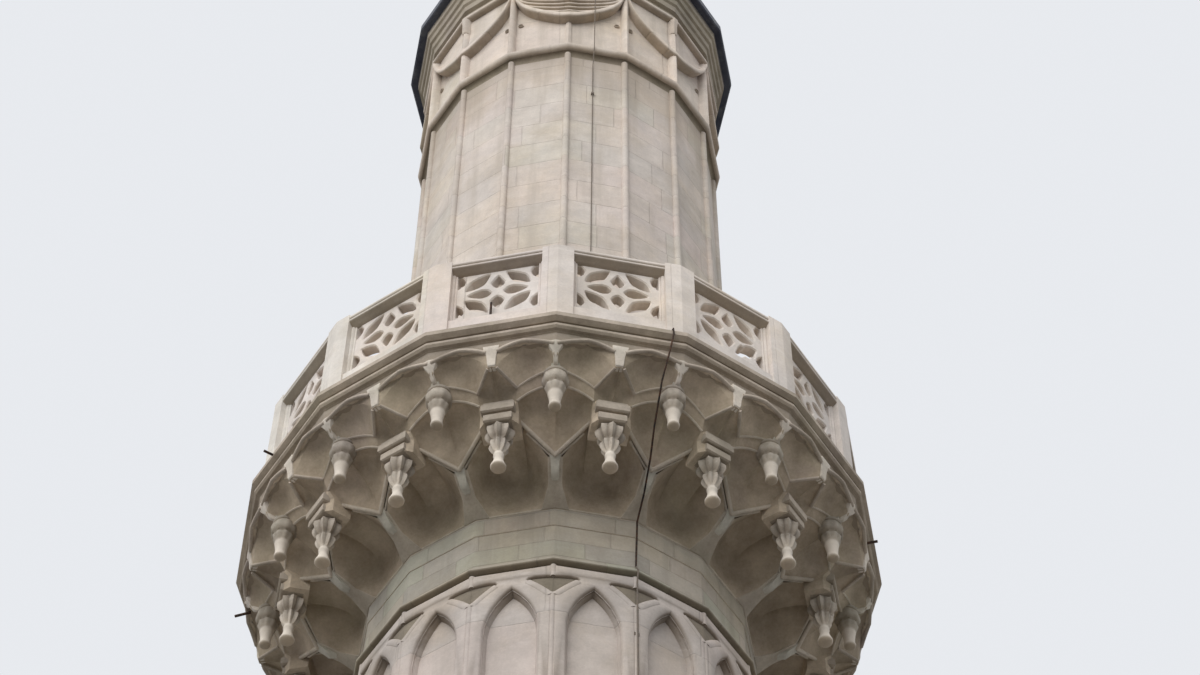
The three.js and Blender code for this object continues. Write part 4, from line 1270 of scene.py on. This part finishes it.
def dress_finial():
    shape = Shape()
    profile = [(0.085, 0.0), (0.080, 0.025), (0.058, 0.06), (STEM, 0.078)]
    for radius, rise in BALLS:
        start = math.asin(0.030 / radius)
        angles = [-math.pi / 2 + start + t * (math.pi - 2 * start) for t in fractions(10)]
        profile.append((STEM, rise - radius - 0.012))
        profile += oval(0.0, rise, radius, radius, angles)
        profile.append((STEM, rise + radius + 0.012))
    profile += [(0.022, 0.97), (0.016, 1.14), (0.012, 1.15)]
    turned(shape, [(radius, ROOF_TOP + rise) for radius, rise in profile], 28)
    rows = []
    for t in fractions(36):
        turn = math.radians(lerp(-58, 238, t))
        width = 0.030 * math.sin(math.pi * min(max(t, 0.02), 0.98)) + 0.003
        out = Vector((math.cos(turn), 0, -math.sin(turn)))
        middle = UP * (ROOF_TOP + CRESCENT_RISE) + out * (CRESCENT_RADIUS - width)
        rows.append([middle + out * (width * math.cos(a)) + Vector((0, CRESCENT_THICK * math.sin(a), 0))
                     for a in circle(8)])
    shape.solid(rows)
    make("gilt_finial", shape, gold, ("finial",), smooth=50)


# Ironwork: lightning conductor with clips, and pins in the balcony
CONDUCTOR = 0.0065
WIRE = 0.0042
LOWER_WIRE = 0.0055
WIRE_BAY = 0.44
CORNICE_BAY = 0.890
SHAFT_BAY = 1.0
BASE_X = 0.74


def add_clip(shape, size, centre, bay):
    out, right = from_axis(centre), rightwards(bay)
    rows = []
    for rise in (-0.014, 0.014):
        rows.append([centre + right * (side * size) + out * (size * 0.6 + depth * size * 0.7) + UP * rise
                     for side, depth in ((-1, -1), (1, -1), (1, 1), (-1, 1))])
    shape.solid(rows)


def add_conductor():
    """From the roof's tip down the upper shaft, out over the floor, down the corbelling and to the ground.
    What the photograph shows of it is a piece of its own, from the floor to the arcade."""
    wire, seen = Shape(), Shape()
    eave = EAVE_RADIUS + 0.008
    path = [at(0.10, WIRE_BAY, ROOF_TOP - 0.02)]
    path += [on_ring(radius, WIRE_BAY, height, proud) for radius, height, proud in (
        (roof_radius(EAVE_TOP + 2.2), EAVE_TOP + 2.2, 0.02), (roof_radius(BELL_TOP), BELL_TOP, 0.03),
        (eave, EAVE_TOP - 0.01, 0.0), (eave, EAVE_BOTTOM - 0.012, -0.005),
        (UPPER_RADIUS + 0.10, BED_LINE + 0.03, 0.0), (UPPER_RADIUS + 0.10, SWAG_LOW + 0.2, 0.0),
        (UPPER_RADIUS + 0.085, RING_TOP + 0.01, 0.0), (UPPER_RADIUS + 0.082, RING_TOP - 0.04, 0.0),
        (UPPER_RADIUS + 0.012, RING_TOP - 0.24, 0.0), (UPPER_RADIUS + 0.010, FLOOR + 2.6, 0.0),
        (UPPER_RADIUS + 0.010, FLOOR + 0.06, 0.0),
    )]
    path += [at(UPPER_RADIUS + 0.05, lerp(WIRE_BAY, CORNICE_BAY, 0.2), FLOOR + 0.012),
             at(1.98, CORNICE_BAY, FLOOR + 0.012)]
    rod(wire, path, WIRE, 6, from_axis)
    path = [on_ring(CORNICE_RADIUS, CORNICE_BAY, FLOOR + rise, proud)
            for proud, rise in ((-0.10, 0.012), (0.010, 0.010), (0.011, -0.06))]
    path.append(at(flat_radius(2.235, CORNICE_BAY) + 0.012, 0.876, CORNICE_BOTTOM + 0.02))
    path += [at(radius, bay, FLOOR + rise) for radius, bay, rise in (
        (2.12, 0.855, -0.40), (1.90, 0.885, -0.62), (1.75, 0.925, -0.76), (1.56, 0.970, -0.90),
        (BAND_RADIUS + 0.050, SHAFT_BAY, -1.00),
    )]
    path.append(at(BAND_RADIUS + 0.022, SHAFT_BAY, ARCADE_TOP + 0.10))
    rod(seen, path, CONDUCTOR, 6, from_axis)
    foot_top, foot_bottom = high("shaft_foot_ring"), low("shaft_foot_ring")
    path = path[-1:] + [at(BAND_RADIUS + proud, SHAFT_BAY, height) for proud, height in (
        (0.058, ARCADE_TOP + 0.03), (0.040, ARCADE_TOP - 0.08), (0.036, ARCADE_BOTTOM + 0.1),
        (0.014, ARCADE_BOTTOM - 0.1), (0.014, 10.0), (0.014, foot_top + 0.3), (0.135, foot_top - 0.08),
        (0.135, foot_bottom - 0.02), (0.055, foot_bottom - 0.035),
    )]
    rod(wire, path, LOWER_WIRE, 6, from_axis)
    half, cornice, plinth = high("base_wall_right", 0), high("base_cornice", 0), high("base_plinth", 0)
    wall_top, drum_foot = high("base_wall_right"), low("transition_drum")
    down = [path[-1], Vector((0.6825, -1.545, 4.902))]
    down += [Vector((BASE_X, -depth, height)) for depth, height in (
        (high("transition_drum", 0) + 0.014, drum_foot + 0.03), (cornice + 0.012, drum_foot - 0.05),
        (cornice + 0.012, wall_top + 0.18), (half + 0.016, wall_top - 0.10), (half + 0.016, 0.40),
    )]
    rod(wire, down, LOWER_WIRE, 6, from_axis)
    foot = [Vector((BASE_X, -depth, height))
            for depth, height in ((half + 0.03, 0.315), (plinth + 0.010, 0.30), (plinth + 0.010, 0.01))]
    rod(wire, down[-1:] + foot, LOWER_WIRE, 6, from_axis)
    for rise in (1.5, 4.9):
        add_clip(wire, 0.012, on_ring(UPPER_RADIUS, WIRE_BAY, FLOOR + rise, 0.004), WIRE_BAY)
    for height in (7.0, 8.6, 10.9, 12.4, 13.6, 14.9):
        add_clip(wire, 0.018, at(BAND_RADIUS, SHAFT_BAY, height), SHAFT_BAY)
    make("lightning_conductor_upper", wire, dull_wire, smooth=60)
    make("lightning_conductor", seen, rusty, smooth=60)


def add_pins():
    """Iron pins left in the parapet and the cornice: one upright, and three as (bay, rod's size, ends)."""
    shape = Shape()
    upright = [on_face(-0.5, PANEL_FACE + 0.012, -0.030, FLOOR + rise) for rise in (0.225, 0.375)]
    rod(shape, upright, 0.009, 8, from_axis)
    for bay, size, ends in (
        (-2.62, 0.009, ((CORNICE_RADIUS - 0.02, -0.10), (CORNICE_RADIUS + 0.05, -0.10))),
        (-4.1, 0.010, ((2.16, -0.26), (2.27, -0.30))), (3.42, 0.010, ((2.19, -0.20), (2.27, -0.20))),
    ):
        rod(shape, [at(radius, bay, FLOOR + rise) for radius, rise in ends], size, 6)
    make("iron_pins", shape, rusty, smooth=60)


# Doors, slit frames and mouldings of the lower tower
def door_leaf(node, outward, boards):
    """Planks, straps, studs and a ring handle on the outer face of a door's solid."""
    lower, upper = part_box(node)
    middle = (lower[0] + upper[0]) / 2
    half = (upper[0] - lower[0]) / 2 - 0.012
    face = upper[1] if outward > 0 else lower[1]
    height = upper[2] - lower[2]
    width = 2 * half / boards
    wood, metal = Shape(), Shape()

    def before(x, proud, z):
        return Vector((x, face + outward * proud, z))

    def slab(shape, left, right, bottom, top, inside, outside):
        section = ((left, inside), (right, inside), (right, outside), (left, outside))
        shape.solid([[before(x, proud, z) for x, proud in section] for z in (bottom, top)])

    for i in range(boards):
        left = middle - half + i * width
        slab(wood, left + 0.003, left + width - 0.003, lower[2] + 0.012, upper[2] - 0.012, -0.004, 0.018)
    for share in (0.14, 0.50, 0.86):
        z = lower[2] + share * height
        slab(metal, middle - half + 0.01, middle + half - 0.06, z - 0.026, z + 0.026, 0.014, 0.025)
        for i in range(boards):
            x = middle - half + (i + 0.5) * width
            rod(metal, [before(x, 0.02, z), before(x, 0.032, z)], [0.015, 0.009], 10)
    x, z = middle + half - 0.09, lower[2] + 0.52 * height
    handle = [before(x + 0.045 * math.sin(angle), 0.034, z - 0.05 - 0.045 * math.cos(angle))
              for angle in circle(16) + [2 * math.pi]]
    rod(metal, handle, 0.007, 8, Vector((0, outward, 0)))
    rod(metal, [before(x, 0.012, z), before(x, 0.042, z)], [0.022, 0.014], 10)
    make(node + "_planks", wood, oak, bevel=0.003)
    make(node + "_ironwork", metal, rusty, smooth=40)


def surround(shape, bay, face, half, bottom, top, steps, closed):
    """Stepped frame round an opening, or over and beside it when it isn't closed.
    Each step is (distance of its inner edge from the opening, of its outer edge, how far it stands out)."""
    for inner, outer, proud in steps:
        rows = []
        for side, upper in ((-1, False), (-1, True), (1, True), (1, False)):
            rows.append([
                on_face(bay, face + depth, side * (half + off), top + off if upper else bottom - off * closed)
                for off, depth in ((inner, -0.02), (inner, proud), (outer, proud), (outer, -0.02))
            ])
        shape.grid(rows, around=True, ends=not closed, closed=closed)


DOOR_HALF = 0.41
DOOR_FRAME = 0.15
SLIT_HALF = 0.0905


def door_frame():
    """Moulded stone surround and hood of the base doorway."""
    shape = Shape()
    head, face = low("base_wall_over_door"), -low("base_wall_left", 1)
    surround(shape, 0, face, DOOR_HALF, high("base_plinth"), head,
             ((0.0, 0.06, 0.050), (0.06, DOOR_FRAME, 0.032)), closed=False)
    hood = []
    for half, proud, front, back in ((0.62, 0.085, 0.03, 0.0), (0.66, 0.11, 0.10, 0.12)):
        hood.append([on_face(0, face + depth, along, head + DOOR_FRAME + rise) for along, depth, rise in (
            (-half, proud, front), (half, proud, front), (half, -0.02, back), (-half, -0.02, back),
        )])
    shape.solid(hood)
    make("base_door_surround", shape, parapet_stone, bevel=0.006)


def base_mouldings():
    """Roll on the plinth round the base, from one side of the door frame to the other."""
    shape = Shape()
    half, foot = high("base_wall_right", 0), high("base_plinth")
    roll = oval(0.01, 0.05, 0.045, 0.045, HALF_TURN)
    section = [(0.0, 0.0), *roll, (0.012, 0.105), (0.0, 0.125), (-0.02, 0.125), (-0.02, 0.0)]
    front = Vector((0, -1, 0))
    run = [(Vector((side * half, end * half, 0)), Vector((side, end, 0)))
           for side, end in ((1, -1), (1, 1), (-1, 1), (-1, -1))]
    ends = [(Vector((side * (DOOR_HALF + DOOR_FRAME), -half, 0)), front) for side in (1, -1)]
    shape.solid([[place + out * proud + UP * (foot + rise) for proud, rise in section]
                 for place, out in [ends[0], *run, ends[1]]])
    make("base_plinth_moulding", shape, base_stone, smooth=40)


def slit_frames():
    """Raised stone frame round the slit on each side of the shaft."""
    shape = Shape()
    surround(shape, 4.5, SHAFT_RADIUS * FACE, SLIT_HALF, low("shaft_window_course_front"),
             high("shaft_window_course_front"), ((0.0, 0.0345, 0.030), (0.0345, 0.0745, 0.014)), closed=True)
    make("slit_frames", shape.copies([0, SIDES / 2]), parapet_stone, bevel=0.004)


# Materials of the carried-over solids, by the first of these starts that a node's name has
SOLID_LOOKS = {
    "base_door": oak, "balcony_door": oak, "base_": base_stone, "transition_drum": shaft_stone,
    "shaft_": shaft_stone, "blind_arcade": arcade_stone, "arcade_ring": band_stone, "plain_band": band_stone,
    "corbelling": hollow_stone, "balcony_cornice": cornice_stone, "parapet": parapet_stone,
    "upper_shaft_wall": upper_stone, "upper_shaft_ring": frieze_stone, "swag_frieze": frieze_stone,
    "roof_eave": lead, "lead_roof": lead, "finial": gold,
}


def dress_solids():
    for item in frame["record"]["subparts"]:
        materials = bpy.data.objects[item["node"]].data.materials
        materials.clear()
        materials.append(next(look for start, look in SOLID_LOOKS.items() if item["node"].startswith(start)))


dress_solids()
carve_corbelling()
carve_ridges()
carve_feet()
carve_brackets()
hang_drops()
cornice_fillets()
dress_arcade()
dress_parapet()
dress_frieze()
dress_roof()
dress_finial()
add_conductor()
add_pins()
door_leaf("base_door", -1, 6)
door_leaf("balcony_door", 1, 5)
door_frame()
base_mouldings()
slit_frames()

# Floor, sky and light
FLOOR_DEPTH = 0.001
SKY_LIGHT = 0.86
GROUND_LIGHT = 0.20
SKY_TINT = (0.99, 0.995, 1.0)
SEEN_SKY = (0.805, 0.825, 0.86)
SUN_AZIMUTH = math.radians(-28)
SUN_ELEVATION = math.radians(32)


def add_floor():
    disc = Shape()
    disc.grid([[(radius * math.sin(angle), radius * math.cos(angle), -FLOOR_DEPTH) for angle in circle(96)]
               for radius in (0.0001, 4.0, 9.0)], around=True)
    floor = new_object("floor", disc, plain_floor())


def add_sky():
    world = bpy.data.worlds.new("sky")
    world.use_nodes = True
    bpy.context.scene.world = world
    sky = Graph(world.node_tree)
    background = sky.tree.nodes["Background"]
    up = sky.split(sky.node("TexCoord", output="Generated"))[2]
    light = sky.tint(SKY_TINT, sky.spread(up, -0.10, 0.12, GROUND_LIGHT, SKY_LIGHT))
    seen = sky.node("LightPath", output="Is Camera Ray")
    sky.tree.links.new(sky.mix(seen, light, SEEN_SKY), background.inputs["Color"])
    background.inputs["Strength"].default_value = 1.0


def add_sun():
    data = bpy.data.lights.new("soft_key", "SUN")
    data.energy = 2.0
    data.angle = math.radians(60)
    data.color = (1.0, 0.98, 0.95)
    lamp = bpy.data.objects.new("soft_key", data)
    level = Vector((math.sin(SUN_AZIMUTH), -math.cos(SUN_AZIMUTH), 0)) * math.cos(SUN_ELEVATION)
    lamp.rotation_mode = "QUATERNION"
    lamp.rotation_quaternion = (-level - UP * math.sin(SUN_ELEVATION)).to_track_quat("-Z", "Y")
    bpy.context.scene.collection.objects.link(lamp)


add_floor()
add_sky()
add_sun()
# The default view transform greys pale stone
bpy.context.scene.view_settings.view_transform = "Standard"
